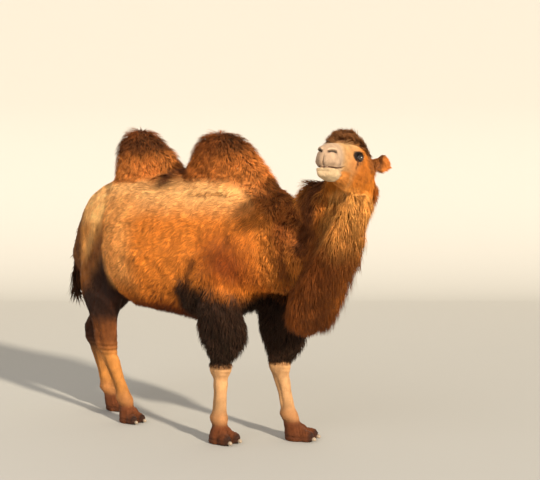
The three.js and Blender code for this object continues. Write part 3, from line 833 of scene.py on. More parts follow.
# %% Bones and folds under the hide
def limb_relief(points):
    """How far the skin stands out on the legs: pads of the knees, the point of the hock, grooves
    between bone and tendon, fetlocks, and two toes with a cleft between them."""
    z = points[:, 2]
    total = np.zeros(len(points))
    for number, (line, yaw) in enumerate(zip((*FORELEGS, *HINDLEGS), TOES_TO)):
        line = np.array(line)[::-1]
        across = points[:, :2] - np.stack([np.interp(z, line[:, 2], line[:, i]) for i in (0, 1)], axis=1)
        c, n = math.cos(math.radians(yaw)), math.sin(math.radians(yaw))
        ahead, side = across[:, 0] * c + across[:, 1] * n, across[:, 1] * c - across[:, 0] * n
        reach = np.hypot(ahead, side)
        near = (1 - ease(reach, 0.15, 0.18)) * (1 - ease(z, 0.66, 0.76))
        front, back = ease(ahead / reach, 0.1, 0.8), ease(-ahead / reach, 0.2, 0.9)
        flank = bell(ahead / reach + 0.45, 0.30)
        joint = 0.50 if number < 2 else 0.55
        out = 0.009 * bell(z - joint - 0.01, 0.045) * front + 0.010 * bell(z - joint + 0.01, 0.035) * back
        out -= 0.006 * bell(z - joint + 0.075, 0.028)
        if number > 1:
            out += 0.010 * bell(z - 0.62, 0.05) * back - 0.009 * flank * bell(z - 0.66, 0.07)
            out -= 0.0025 * np.cos(2 * math.pi * z / 0.034) * bell(z - 0.52, 0.05) * (1 - back)
        else:
            out -= 0.0015 * np.cos(2 * math.pi * (z + 0.1 * side) / 0.026) * bell(z - 0.50, 0.05) * front
        shaft = ease(z, 0.19, 0.25) * (1 - ease(z, joint - 0.12, joint - 0.05))
        out += (-0.007 * flank + 0.003 * back + 0.002 * front) * shaft
        fetlock = 0.007 * bell(z - 0.165, 0.028) + 0.006 * bell(z - 0.175, 0.022) * back
        out += fetlock - 0.005 * bell(z - 0.118, 0.016)
        toe = ease(ahead, 0.02, 0.06) * (1 - ease(z, 0.09, 0.12))
        out += (-0.014 * bell(side, 0.007) + 0.005 * bell(np.abs(side) - 0.038, 0.022)) * toe
        out -= 0.005 * bell(z - 0.034, 0.005) * (1 - 0.4 * toe)
        out -= 0.002 * np.cos(2 * math.pi * ahead / 0.02) * toe * ease(z, 0.04, 0.06)
        total += out * near
    return total * ease(z, 0.004, 0.02)


def trunk_relief(points):
    """Lumps of the coat, the crease behind each elbow, and the fold where the full belly swells
    over each thigh."""
    mask = regions(points)
    bare = np.maximum.reduce([mask["cheek"], mask["shin"], mask["hock"], mask["foot"], mask["tail"]])
    out = (0.0050 * wander(points * [1, 1, 0.8], 0.22, 31) + 0.0008 * wander(points, 0.09, 32)) * (1 - bare)
    right = on_right(points)
    elbow, fold = near_line(right, ELBOW_FOLD), near_line(right, BELLY_FOLD)
    out += -0.014 * bell(elbow, 0.022) + 0.006 * bell(elbow - 0.06, 0.04)
    behind = ease(along_x(BELLY_FOLD, points[:, 2]) - points[:, 0], -0.02, 0.05)
    swell, hollow = 0.012 * bell(fold, 0.07) * (1 - behind), 0.010 * bell(fold, 0.06) * behind
    out += -0.016 * bell(fold, 0.016) + swell - hollow
    return out


points = muzzle_form(points)
skin_mesh.vertices.foreach_set("co", points.astype(np.float32).ravel())
skin_mesh.update()
normals = blur(array_of(skin_mesh.vertex_normals, "vector", 3).astype(float), edges, 1)
normals /= np.linalg.norm(normals, axis=1)[:, None]
points = points + (carve(points) + limb_relief(points) + trunk_relief(points))[:, None] * normals
points[:, 2] = np.maximum(points[:, 2], LOWEST)
points = points + socket(points)
skin_mesh.vertices.foreach_set("co", points.astype(np.float32).ravel())
skin_mesh.update()
under_coat = 1 - 0.40 * ease(hair[:, :1], 0.012, 0.045)  # skin under long hair is in its shade
keep(skin_mesh, "coat", markings(points) * under_coat)
print("deepest groove, mm:", round(float(-1000 * carve(points).min()), 1))

# %% [markdown]
# ## Materials as sums
# A shader is a sum over sockets, so a small class lets Python's own signs add the Math nodes.

# %% Materials as sums
class Wire:
    """A socket of a material, with the signs of arithmetic."""

    def __init__(self, paint, socket):
        self.paint = paint
        self.socket = socket

    def sum(self, operation, first, second):
        return self.paint.node("ShaderNodeMath", {"operation": operation}, {0: first, 1: second})

    def __add__(self, other):
        return self.sum("ADD", self, other)

    def __radd__(self, other):
        return self.sum("ADD", other, self)

    def __sub__(self, other):
        return self.sum("SUBTRACT", self, other)

    def __rsub__(self, other):
        return self.sum("SUBTRACT", other, self)

    def __mul__(self, other):
        return self.sum("MULTIPLY", self, other)

    def __rmul__(self, other):
        return self.sum("MULTIPLY", other, self)


class Paint:
    """A material that is built node by node."""

    def __init__(self, name):
        self.made = bpy.data.materials.new(name)
        self.made.use_nodes = True
        self.tree = self.made.node_tree
        self.shader = self.tree.nodes["Principled BSDF"]

    def node(self, kind, settings=None, sockets=None, out=0):
        """One node: its settings come first, then the values or links of its sockets."""
        made = self.tree.nodes.new(kind)
        for name, value in (settings or {}).items():
            setattr(made, name, value)
        for name, value in (sockets or {}).items():
            if isinstance(value, Wire):
                self.tree.links.new(value.socket, made.inputs[name])
            else:
                made.inputs[name].default_value = value
        return Wire(self, made.outputs[out])

    def stored(self, name, out="Fac"):
        """A number, or a colour, that is stored on the mesh's points."""
        return self.node("ShaderNodeAttribute", {"attribute_name": name}, out=out)

    def mixed(self, factor, first, second):
        """Two colours mixed by a Mix node, whose sockets 6 and 7 take the colours."""
        colours = [c if isinstance(c, Wire) else (*c, 1) for c in (first, second)]
        return self.node("ShaderNodeMix", {"data_type": "RGBA"}, {0: factor, 6: colours[0], 7: colours[1]}, 2)

    def scaled(self, colour, number):
        """A colour made lighter or darker by a number, with a Vector Math node."""
        return self.node("ShaderNodeVectorMath", {"operation": "SCALE"}, {0: colour, "Scale": number})

    def feed(self, name, wire):
        """Links a wire to one of the shader's sockets."""
        self.tree.links.new(wire.socket, self.shader.inputs[name])

    def bumped(self, strength, distance, height):
        """A Bump node on the shader, where a height of 1 stands for the distance."""
        sockets = {"Strength": strength, "Distance": distance, "Height": height}
        self.feed("Normal", self.node("ShaderNodeBump", None, sockets))

    def fixed(self, **values):
        """Numbers that are the same all over, set on the shader's own sockets."""
        for name, value in values.items():
            self.shader.inputs[name.replace("_", " ")].default_value = value


def noise(paint, scale, detail=2.0, vector=None, roughness=0.5):
    """A Noise Texture, from 0 to 1, on Object coordinates or on the given vector."""
    sockets = {"Scale": scale, "Detail": detail, "Roughness": roughness}
    if vector is None:
        vector = paint.node("ShaderNodeTexCoord", out="Object")
    return paint.node("ShaderNodeTexNoise", {"noise_dimensions": "3D"}, {**sockets, "Vector": vector})


# %% [markdown]
# ## The hide's finish
# Under the tufts the hide wears short down, which is too small to model: it is a fine bump and a
# mottle of the stored colour. The bare rims of the eyes and lips come with it as darker colour.

# %% The hide's finish
hide = Paint("hide")
hide_colour = hide.stored("coat", "Color")
mottle = noise(hide, 160, 3) * 0.5 + noise(hide, 35, 2) * 0.35 + 0.52
hide.feed("Base Color", hide.scaled(hide_colour, mottle))
hide.fixed(Roughness=0.75, Sheen_Weight=0.05, Specular_IOR_Level=0.2)
down = noise(hide, 420, 3) + noise(hide, 130, 2)
hide.bumped(0.35, 0.002, down)

skin_mesh.polygons.foreach_set("use_smooth", np.ones(len(skin_mesh.polygons), bool))
skin = piece("skin", skin_mesh, hide.made)
bpy.context.view_layer.objects.active = skin
skin.select_set(True)
skin_mesh.uv_layers.new(name="OFBake")
bpy.ops.object.mode_set(mode="EDIT")
bpy.ops.mesh.select_all(action="SELECT")
bpy.ops.uv.smart_project(angle_limit=1.15, island_margin=0.002)
bpy.ops.object.mode_set(mode="OBJECT")
FLESH = [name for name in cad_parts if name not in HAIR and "nail" not in name and "eye" not in name]
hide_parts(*FLESH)
print("solids under the skin:", len(FLESH))

# %% [markdown]
# ## The lie of the coat
# Hair lies back and down over the trunk, falls from the crown of each hump, hangs from the neck
# and legs, and runs back from the nose. Each region has one direction, which is laid flat on the
# skin by taking away its part along the normal, and the whole field is blurred over the mesh.

# %% The lie of the coat
LIE = {
    "trunk": (-0.75, 0, -0.65),
    "back": (-0.8, 0, -0.6),
    "belly": (-0.8, 0, -0.5),
    "shoulder": (-0.35, 0, -0.95),
    "haunch": (-0.25, 0, -0.95),
    "neck": (-0.1, 0, -1),
    "withers": (-0.2, 0, -0.95),
    "mane": (-0.25, 0, -0.9),
    "fringe": (0.08, -0.02, -1),
    "sleeve": (-0.12, 0, -1),
    "shin": (0, 0, -1),
    "thigh": (-0.1, 0, -1),
    "hock": (0, 0, -1),
    "foot": (0.3, 0, -0.8),
    "tail": (0, 0, -1),
    "cheek": tuple(np.array([-0.55, 0, -0.85]) @ HEAD_AXES),
    "face": tuple(np.array([-0.95, 0, -0.3]) @ HEAD_AXES),
    "muzzle": tuple(np.array([-0.8, 0, -0.35]) @ HEAD_AXES),
    "topknot": tuple(np.array([0.55, -0.25, 0.25]) @ HEAD_AXES),
}


def lie_of_coat(points, normals):
    """The unit direction in which hair lies: a region's own, with humps and ears spreading away
    from their middles, less its part along the normal."""
    way = blended(points, LIE)
    mask = regions(points)
    for at in HUMPS.values():
        away = np.stack([points[:, 0] - at[0], points[:, 1] - at[1]], axis=1)
        close = mask["hump"] * (np.abs(away[:, 0]) < 0.37)
        spread = np.concatenate([away * 4.0, np.full((len(points), 1), -0.8)], axis=1)
        way += close[:, None] * (spread - way)
    aside = np.sign(to_head(points)[:, 1])
    outwards = np.stack([np.full(len(points), -0.15), aside, np.full(len(points), -0.2)], axis=1)
    way += mask["ear"][:, None] * (outwards @ HEAD_AXES - way)
    way -= (way * normals).sum(1)[:, None] * normals
    return way / np.maximum(np.linalg.norm(way, axis=1), 1e-6)[:, None]


normals = array_of(skin_mesh.vertex_normals, "vector", 3).astype(float)
smooth_normals = blur(normals, edges, 4)
smooth_normals /= np.linalg.norm(smooth_normals, axis=1)[:, None]
lie = blur(lie_of_coat(points, smooth_normals), edges, 24)
hair = blur(coat_at(points), edges, 2)
print("hair, mm long:", round(1000 * float(hair[:, 0].min())), "to", round(1000 * float(hair[:, 0].max())))

# %% [markdown]
# ## Sowing the roots
# Each triangle of the skin gets as many roots as its area asks for, at random places in it, and a
# root carries what its three corners carry, mixed by the same shares.

# %% Sowing the roots
skin_mesh.calc_loop_triangles()
corners = array_of(skin_mesh.loop_triangles, "vertices", 3, np.int32)
loops = array_of(skin_mesh.loop_triangles, "loops", 3, np.int32)
unwrap = array_of(skin_mesh.uv_layers["OFBake"].uv, "vector", 2)


def bald(points):
    """1 where no tuft may root: the eyes with their lids, slits of the nose, lips and soles."""
    local = to_head(points)
    eye = to_head(EYE_AT["left"][None])[0]
    gap = np.linalg.norm((folded(local) - eye) / [1.25, 1, 1], axis=1)
    none = (gap < 0.0275) | (nostril_gap(local) < 0.0065)
    u, w, v = local.T
    none |= (np.abs(v - mouth_height(u)) < 0.006) & (u > 0.385) & (regions(points)["cheek"] > 0.5)
    none |= (np.abs(nose_side(w, v)) < 0.004) & (u > 0.54) & (v < 0) & (v > -0.09)
    return none | (points[:, 2] < 0.006)


def sow():
    """Roots on the skin: their places and everything that is carried there."""
    a, b, c = points[corners[:, 0]], points[corners[:, 1]], points[corners[:, 2]]
    area = np.linalg.norm(np.cross(b - a, c - a), axis=1) / 2
    wanted = area * hair[corners, 3].mean(1) * (1 - bald((a + b + c) / 3))
    count = np.floor(wanted + rng.random(len(wanted))).astype(int)
    face = np.repeat(np.arange(len(count)), count)
    share = rng.random((len(face), 2))
    flip = share.sum(1) > 1
    share[flip] = 1 - share[flip]
    share = np.concatenate([1 - share.sum(1, keepdims=True), share], axis=1)

    def carried(values, index=corners):
        return (values[index[face]] * share[:, :, None]).sum(1)

    return carried(points), carried(smooth_normals), carried(lie), carried(hair), carried(unwrap, loops)


roots, root_up, root_lie, root_hair, root_map = sow()
root_up /= np.linalg.norm(root_up, axis=1)[:, None]
root_lie -= (root_lie * root_up).sum(1)[:, None] * root_up
root_lie /= np.maximum(np.linalg.norm(root_lie, axis=1), 1e-6)[:, None]
root_mask = regions(roots)
print("roots:", len(roots))

# %% [markdown]
# ## The line of a tuft
# Wool grows in tufts that cling together at their tips. The middle line of a tuft leaves the skin
# at the region's stand, bends over towards the lie of the coat, hangs a little if it is long and
# is drawn to the tip of its neighbours' lock.

# %% The line of a tuft
def locks(at, size):
    """The number of the lock that each root belongs to: cells of a warped grid, which are about
    size across, in steps of a doubling."""
    size = 0.02 * 2.0 ** np.round(np.log2(size / 0.02))[:, None]
    warp = np.stack([wander(at, 0.09, seed) for seed in (11, 12, 13)], axis=1)
    cell = np.floor(at / size + warp * 0.8).astype(np.int64)
    key = cell @ np.array([73856093, 19349663, 83492791])
    return np.unique(key, return_inverse=True)[1]


def middle_lines(at, up, lie, hair, steps, seed):
    """Points down the middle of each tuft, at the given steps from 0 to 1: root + length *
    (lie cos(stand) s + up sin(stand) (s - s^2 / 4)) + a droop with s^2 for long hair, plus a wave
    to the side, all drawn by s^2 towards the mean tip of the lock."""
    source = np.random.default_rng(seed)
    count = len(at)
    length = hair[:, 0] * source.uniform(0.72, 1.22, count)
    stand = hair[:, 2] * source.uniform(0.7, 1.25, count) * (1 + 0.25 * wander(at, 0.08, 23))
    # where the skin looks down, hair hangs away from it
    stand += 0.9 * np.clip(-up[:, 2] - 0.25, 0, 0.7) * (hair[:, 0] > 0.02)
    side = np.cross(lie, up)
    turn = 0.30 * wander(at, 0.16, 21) + 0.22 * wander(at, 0.05, 22) + source.normal(0, 0.16, count)
    way = lie * np.cos(turn)[:, None] + side * np.sin(turn)[:, None]
    side = np.cross(way, up)
    s = steps[None, :, None]
    reach = length[:, None, None]
    line = at[:, None] + reach * (way[:, None] * np.cos(stand)[:, None, None] * s
                                  + up[:, None] * np.sin(stand)[:, None, None] * (s - s * s / 4))
    droop = np.clip((length - 0.05) / 0.1, 0, 1) * length * 0.35 * (1 - ease(up[:, 2], -0.05, 0.25))
    line[:, :, 2] -= droop[:, None] * steps[None] ** 2
    phase = source.uniform(0, 2 * math.pi, count)[:, None]
    wave = np.sin(phase + 5.0 * steps[None]) - np.sin(phase)
    line += (0.07 * length[:, None] * wave)[:, :, None] * side[:, None]
    lock = locks(at, 0.012 + 0.24 * hair[:, 0])
    members = np.bincount(lock)
    tip = line[:, -1]
    mean = np.stack([np.bincount(lock, column) / members for column in tip.T], axis=1)[lock]
    draw = 0.48 * source.uniform(0.4, 1.0, count)
    pull = (mean - tip) * draw[:, None]
    room = np.minimum(1, 0.45 * length / np.maximum(np.linalg.norm(pull, axis=1), 1e-6))
    line += (pull * room[:, None])[:, None] * (steps[None, :, None] ** 2)
    return line, side, lock


# %% [markdown]
# ## The tuft's solid
# A tuft is a thin closed spike with three sides round its middle line. Short hair gets by with one
# ring of three points under the tip and flat shading, which keeps a whole coat light. Long hair
# has two rings and a lash three, so that they can bend.

# %% The tuft's solid
def tufts(name, at, up, lie, hair, colour, place, bends, seed):
    """The solid mesh of some roots' tufts: rings of three points along each middle line, a closed
    foot and a tip. Its bake map sets each tuft at its root's place on the skin's unwrap."""
    steps = np.append(np.linspace(0, 0.6, bends), 1.0)
    sunk = np.minimum(0.04 * hair[:, :1], 0.0018)
    line, side, lock = middle_lines(at - sunk * up, up, lie, hair, steps, seed)
    count = len(at)
    ahead = np.gradient(line, axis=1)
    over = np.cross(side[:, None], ahead)
    over /= np.maximum(np.linalg.norm(over, axis=2), 1e-9)[:, :, None]
    swell = np.interp(steps[:-1], [0, 0.35, 0.74], [0.85, 1.0, 0.66])
    width = 0.5 * hair[:, 1:2] * swell * np.random.default_rng(seed + 1).uniform(0.7, 1.25, (count, 1))
    rings = line[:, :-1, None] + np.zeros((1, 1, 3, 1))
    rings[:, :, 0] -= side[:, None] * width[:, :, None]
    rings[:, :, 1] += side[:, None] * width[:, :, None]
    rings[:, :, 2] += over[:, :-1] * (0.40 * width[:, :, None])
    each = 3 * bends + 1
    points = np.concatenate([rings.reshape(count, -1, 3), line[:, -1:]], axis=1)
    points[:, :, 2] = np.maximum(points[:, :, 2], LOWEST)
    faces = [[0, 1, 2]]
    for ring in range(bends - 1):
        for i, j in ((0, 1), (1, 2), (2, 0)):
            low, high = 3 * ring, 3 * ring + 3
            faces += [[low + i, high + i, high + j], [low + i, high + j, low + j]]
    faces += [[each - 4 + i, each - 1, each - 4 + j] for i, j in ((0, 1), (1, 2), (2, 0))]
    every = (np.arange(count)[:, None, None] * each + np.array(faces)[None]).reshape(-1, 3)
    mesh = mesh_from(name, points.reshape(-1, 3), every)
    dice = np.random.default_rng(seed + 2)
    tone = dice.normal(0, 0.9, count) + dice.normal(0, 0.7, lock.max() + 1)[lock]
    tone *= np.interp(hair[:, 0], [0.008, 0.045], [0.35, 1.0])
    along = np.append(np.repeat(steps[:-1], 3), 1.0)
    # painted shade deep in the coat: a tuft darkens towards its root, more for long hair
    depth = 1 - (1 - along[None]) * np.interp(hair[:, 0], [0.008, 0.05], [0.35, 1.0])[:, None]
    across = np.append(np.tile([-1.0, 1.0, 0.0], bends), 0.0)
    keep(mesh, "coat", np.repeat(colour, each, axis=0))
    keep(mesh, "tone", np.repeat(tone, each))
    keep(mesh, "along", np.tile(along, count))
    keep(mesh, "light", depth.ravel())
    keep(mesh, "across", np.tile(across, count))
    patch = np.stack([0.0015 * across, 0.003 * (along - 0.5)], axis=1)
    place = np.clip(place[:, None] + patch[None], 0.0005, 0.9995).reshape(-1, 2)
    layer = mesh.uv_layers.new(name="OFBake")
    layer.uv.foreach_set("vector", place[every.ravel()].astype(np.float32).ravel())
    if bends == 1:
        mesh.polygons.foreach_set("use_smooth", np.zeros(len(mesh.polygons), bool))
    return mesh


# %% [markdown]
# ## The coat's finish
# Wool is dull. Painted shade darkens each tuft towards its root, the more so the longer the
# hair, and it is bleached at the tip. Fine streaks run along each tuft, so that one solid spike
# reads as many hairs.

# %% The coat's finish
wool = Paint("wool")
along, across, tone = wool.stored("along"), wool.stored("across"), wool.stored("tone")
thread = wool.node("ShaderNodeCombineXYZ", None, {0: across * 2.4, 1: along * 0.9, 2: tone * 17.0})
streak = noise(wool, 2.2, 2.0, thread, 0.6)
shade = wool.stored("light") * 0.62 + 0.48 + tone * 0.13 + (streak - 0.5) * 0.7
wool.feed("Base Color", wool.scaled(wool.stored("coat", "Color"), shade))
wool.bumped(0.5, 0.002, streak)
wool.fixed(Roughness=0.7, Sheen_Weight=0.06, Sheen_Roughness=0.4, Specular_IOR_Level=0.15)
wool.shader.inputs["Sheen Tint"].default_value = (1.0, 0.7, 0.4, 1)
print("nodes in the wool:", len(wool.tree.nodes))

# %% [markdown]
# ## Parting the coat into pieces
# Each piece of the coat is the hair of one part of the animal, and none is too heavy to print.

# %% Parting the coat into pieces
def parted():
    """The name of each root's piece, by masks and sides. A later line wins over an earlier one."""
    x, y, z = roots.T
    m = root_mask
    part = np.where(y < MIDDLE, "flank_right", "flank_left").astype("U24")
    part[m["hump"] > 0.5] = "hump_front"
    part[(m["hump"] > 0.5) & (x < -0.27)] = "hump_rear"
    part[(m["neck"] > 0.5) & (y < 0.06)] = "neck_right"
    part[(m["neck"] > 0.5) & (y >= 0.06)] = "neck_left"
    part[(m["mane"] > 0.5) | (m["withers"] > 0.5)] = "mane"
    part[m["fringe"] > 0.5] = "throat_fringe"
    part[m["sleeve"] > 0.5] = "sleeve_right"
    part[(m["sleeve"] > 0.5) & (y > MIDDLE)] = "sleeve_left"
    part[(m["thigh"] > 0.5) & (x < -0.55)] = "thighs"
    part[((m["shin"] > 0.5) | (m["foot"] > 0.5)) & (x > -0.3)] = "foreshins"
    part[((m["hock"] > 0.5) | (m["foot"] > 0.5)) & (x < -0.3)] = "hindshins"
    part[m["tail"] > 0.5] = "tail"
    part[m["cheek"] > 0.5] = "head_left"
    part[(m["cheek"] > 0.5) & (to_head(roots)[:, 1] < 0)] = "head_right"
    part[m["topknot"] > 0.5] = "topknot"
    return part


part_of = parted()
# long hair has two rings to a tuft, and dark hair is long
DARK = {"mane", "sleeve_left", "sleeve_right", "tail", "topknot"}
LONG = DARK | {"hump_front", "hump_rear", "neck_left", "neck_right", "throat_fringe"}
total = 0
for number, name in enumerate(sorted(set(part_of))):
    own = part_of == name
    bends = 2 if name in LONG else 1
    mesh = tufts("coat_" + name, roots[own], root_up[own], root_lie[own], root_hair[own],
                 markings(roots[own]), root_map[own], bends, 100 + 10 * number)
    made = piece("coat_" + name, mesh, wool.made)
    if name in HAIR:
        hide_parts(name)
    total += len(mesh.polygons)
    print(f"{made.name}: {own.sum()} tufts, {len(mesh.polygons)} triangles")
print("triangles of fur:", total)

# %% [markdown]
# ## Eyes
# A camel's eye is a ball with a clearer, steeper window in front and a wide dark pupil. The ball
# is a sphere whose radius swells near its axis, and its colours are rings of the angle from it.

# %% Eyes
def turned(side):
    """An eye's centre and its three axes: out of the head, ahead and up."""
    look = EYE_LOOK * [1, side, 1]
    ahead = np.array([1.0, 0, 0]) - look[0] * look
    ahead /= np.linalg.norm(ahead)
    over = np.cross(ahead, look) * side
    return np.stack([look, ahead, over]) @ HEAD_AXES


def capped(rows, around):
    """Triangles between rows rings of around points, and from the first and the last ring to the
    two points that follow them all."""
    place = np.arange(around)
    after = (place + 1) % around
    start = np.arange(rows - 1)[:, None] * around
    next_ring = start + around
    quads = np.stack([start + place, next_ring + place, next_ring + after, start + after], axis=2)
    quads = quads.reshape(-1, 4)
    first, last = np.full(around, rows * around), np.full(around, rows * around + 1)
    last_ring = (rows - 1) * around
    return np.concatenate([quads[:, [0, 1, 2]], quads[:, [0, 2, 3]], np.stack([first, place, after], axis=1),
                           np.stack([last, last_ring + after, last_ring + place], axis=1)])


def ball(side, rings=40, around=48):
    """An eyeball: radius (1 + 0.07 exp(-(angle / 0.5)^2)) along look cos(angle) + rim sin(angle).
    With it come two numbers for each point: the pupil's distance and the angle from the axis."""
    axes = turned(side)
    angle = np.linspace(0, math.pi, rings)[1:-1, None, None]
    turn = np.arange(around)[None, :, None] * 2 * math.pi / around
    rim = np.cos(turn) * axes[1] + np.sin(turn) * axes[2]
    radius = BALL_RADIUS * (1 + 0.07 * bell(angle, 0.5))
    centre = EYE_AT["left" if side > 0 else "right"]
    grid = centre + radius * (np.cos(angle) * axes[0] + np.sin(angle) * rim)
    poles = centre + np.array([[BALL_RADIUS * 1.07], [-BALL_RADIUS]]) * axes[0]
    points = np.concatenate([grid.reshape(-1, 3), poles])
    triangles = capped(rings - 2, around)
    if side < 0:
        triangles = triangles[:, ::-1]
    wide = np.sin(angle) * np.cos(turn) / 1.55
    tall = np.sin(angle) * np.sin(turn)
    pupil = np.append(np.hypot(wide, tall).ravel(), [0, 1])
    ring = np.append(np.repeat(angle.ravel(), around), [0, math.pi])
    return points, triangles, pupil, ring


gloss = Paint("eye")
iris = gloss.stored("iris")
pupil = gloss.stored("pupil")
rays = noise(gloss, 900, 3)
brown = gloss.mixed(rays, (0.012, 0.005, 0.002), (0.045, 0.020, 0.007))
rim = gloss.node("ShaderNodeMapRange", None, {"Value": iris, 1: 0.62, 2: 0.74})
dark = gloss.mixed(rim, brown, (0.018, 0.011, 0.008))
hole = gloss.node("ShaderNodeMapRange", None, {"Value": pupil, 1: 0.19, 2: 0.22})
gloss.feed("Base Color", gloss.mixed(hole, (0.002, 0.0015, 0.001), dark))
gloss.fixed(Roughness=0.06, Coat_Weight=1.0, Coat_Roughness=0.02, IOR=1.4)
for side, name in ((1, "left"), (-1, "right")):
    eye_points, eye_faces, pupil_at, iris_at = ball(side)
    eye_mesh = mesh_from("eyeball_" + name, eye_points, eye_faces)
    keep(eye_mesh, "pupil", pupil_at)
    keep(eye_mesh, "iris", iris_at)
    made = piece("eyeball_" + name, eye_mesh, gloss.made)
    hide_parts("eye_" + name)
print("triangles of each eyeball:", len(eye_faces))

# %% [markdown]
# ## Lids and lashes
# Each lid is a thick lip of dark skin that slides on the ball, with a crease behind it. Both lids
# are one closed ring: a short profile of heights over the ball is carried round an almond. Long
# lashes, which keep out sand, stand along the upper lid.

# %% Lids and lashes
# the lid's profile, in mm: the way out from the edge, and the height over the ball
LID = np.array([[0, 0.2], [-0.3, 1.2], [0.3, 2.3], [2, 3.2], [4.5, 3.3], [6.5, 2.3], [7.5, 1.9],
                [9, 2.9], [12, 3.0], [15, 1.0], [18, -2], [16, -4], [9, -1.0], [4, 0.1]]) / 1000
LASHES = 70


def shell(points, flip):
    """Quads between the rows and columns of a grid of points that closes on itself both ways."""
    rows, columns = points.shape[:2]
    r, c = np.meshgrid(np.arange(rows), np.arange(columns), indexing="ij")
    down, right = (r + 1) % rows, (c + 1) % columns
    row, below = r * columns, down * columns
    quads = np.stack([row + c, below + c, below + right, row + right], axis=2).reshape(-1, 4)
    return quads[:, ::-1] if flip else quads


def on_ball(side, ahead, over, height):
    """A point over the ball: its offsets along the lids are arcs, so the angle from the axis is
    their length over the radius."""
    axes = turned(side)
    arc = np.hypot(ahead, over)
    angle = arc / EYE_RADIUS
    rim = (ahead[..., None] * axes[1] + over[..., None] * axes[2]) / np.maximum(arc, 1e-9)[..., None]
    centre = EYE_AT["left" if side > 0 else "right"]
    reach = (BALL_RADIUS + height)[..., None]
    return centre + reach * (np.cos(angle)[..., None] * axes[0] + np.sin(angle)[..., None] * rim)


def almond(turn):
    """The edge of the lids and the way out from it: an oval with a longer, lower front corner."""
    ahead = 0.0195 * np.cos(turn) + 0.0025 * np.cos(turn) ** 3
    fall = 0.003 * np.cos(turn) * (np.cos(turn) > 0)
    over = np.where(np.sin(turn) > 0, 0.0120, 0.0115) * np.sin(turn) - fall
    out = np.stack([np.cos(turn) / 1.5, np.sin(turn)], axis=-1)
    return ahead, over, out / np.linalg.norm(out, axis=-1, keepdims=True)


def lid_ring(side, around=72):
    """Both lids of an eye: the profile carried once round the almond."""
    turn = (np.arange(around) * 2 * math.pi / around)[:, None]
    ahead, over, out = almond(turn)
    away, height = LID[None, :, 0], LID[None, :, 1]
    grid = on_ball(side, ahead + away * out[:, :, 0], over + away * out[:, :, 1], height + 0 * ahead)
    return grid.reshape(-1, 3), shell(grid, side > 0)


def lash_row(side, name):
    """Lashes along the upper lid: tufts whose middle lines lie from a point close over the ball to
    one further out, and which stand towards the crown of the head."""
    turn = np.linspace(0.12 * math.pi, 0.95 * math.pi, LASHES)
    ahead, over, out = almond(turn)
    near = on_ball(side, ahead + 0.001 * out[:, 0], over + 0.001 * out[:, 1], np.full(LASHES, 0.0025))
    far = on_ball(side, ahead + 0.004 * out[:, 0], over + 0.004 * out[:, 1], np.full(LASHES, 0.010))
    way = far - near
    way /= np.linalg.norm(way, axis=1)[:, None]
    up = np.tile(UP, (LASHES, 1))
    up -= (up * way).sum(1)[:, None] * way
    up /= np.linalg.norm(up, axis=1)[:, None]
    lash_hair = np.tile([0.024, 0.0022, -0.25, 0], (LASHES, 1))
    black = np.tile(linear(24, 14, 10), (LASHES, 1))
    nearest = np.argmin(np.linalg.norm(roots - EYE_AT[name], axis=1))
    place = np.tile(root_map[nearest], (LASHES, 1))
    return tufts("lashes_" + name, near, up, way, lash_hair, black, place, 3, 900)


lid_paint = Paint("lid")
crease = noise(lid_paint, 700, 3)
lid_paint.feed("Base Color", lid_paint.mixed(crease, (0.010, 0.006, 0.004), (0.035, 0.018, 0.010)))
lid_paint.bumped(0.4, 0.001, crease)
lid_paint.fixed(Roughness=0.42)
for side, name in ((1, "left"), (-1, "right")):
    lid = piece("eyelids_" + name, mesh_from("eyelids_" + name, *lid_ring(side)), lid_paint.made)
    lashes = piece("lashes_" + name, lash_row(side, name), wool.made)
print("lashes to an eye:", LASHES)

# %% [markdown]
# ## Nails
# A camel walks on soft pads, and its two nails on each foot are small blunt plates of horn. Each
# is an oval plate with a flat underside, ridged along its length, where the solid's nail stands.

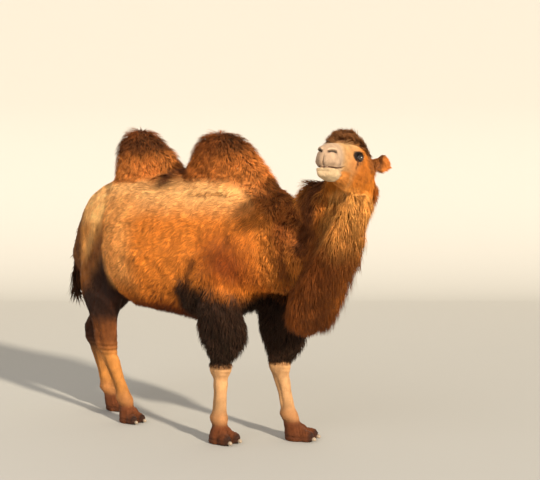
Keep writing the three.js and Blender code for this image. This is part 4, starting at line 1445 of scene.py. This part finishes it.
# %% Nails
def nail_plate(name, yaw, rings=24, around=36):
    """An oval ball, sin(a)^0.8 across and cos(a) ahead, whose top is ridged by a cosine of the
    turn round its length, fitted to the solid's box."""
    low, high = (np.array(corner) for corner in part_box(name))
    centre, half = (low + high) / 2, (high - low) / 2
    angle = np.linspace(0, math.pi, rings)[1:-1, None]
    turn = np.arange(around)[None] * 2 * math.pi / around
    reach = np.sin(angle) ** 0.8
    tall = np.sin(turn) * reach
    ridge = 1 + 0.03 * np.cos(9 * turn) * (np.sin(turn) > 0)
    along = np.cos(angle) * (1 - 0.18 * np.maximum(tall, 0)) + 0 * turn
    wide = np.cos(turn) * reach * ridge
    tall = np.where(tall > 0, tall * ridge, 0.8 * tall)
    plate = 0.92 * half  # the box is wider than the plate, which is turned in it
    c, n = math.cos(yaw), math.sin(yaw)
    grid = np.stack([centre[0] + plate[0] * along * c - plate[1] * wide * n,
                     centre[1] + plate[0] * along * n + plate[1] * wide * c,
                     centre[2] + half[2] * tall], axis=2)
    tip = [0.0004 * c, 0.0004 * n, 0]
    ends = np.array([grid[0].mean(0) + tip, grid[-1].mean(0) - tip])
    return np.concatenate([grid.reshape(-1, 3), ends]), capped(rings - 2, around)


horn = Paint("horn")
grow_lines = noise(horn, 260, 3)
new_horn, old_horn = tuple(linear(92, 74, 58)), tuple(linear(186, 164, 138))
horn.feed("Base Color", horn.mixed(grow_lines, new_horn, old_horn))
horn.bumped(0.4, 0.001, grow_lines)
horn.fixed(Roughness=0.45)
for leg, degrees in zip(LEG_NAMES, TOES_TO):
    for toe in ("inner", "outer"):
        node = f"{leg}_nail_{toe}"
        made = piece("horn_" + node, mesh_from(node, *nail_plate(node, math.radians(degrees))), horn.made)
        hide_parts(node)
print("triangles of each nail:", len(made.data.polygons))

# %% [markdown]
# ## Clearing up
# Meshes that nothing uses any more are removed.

# %% Clearing up
for stale in [m for m in bpy.data.meshes if not m.users]:
    bpy.data.meshes.remove(stale)
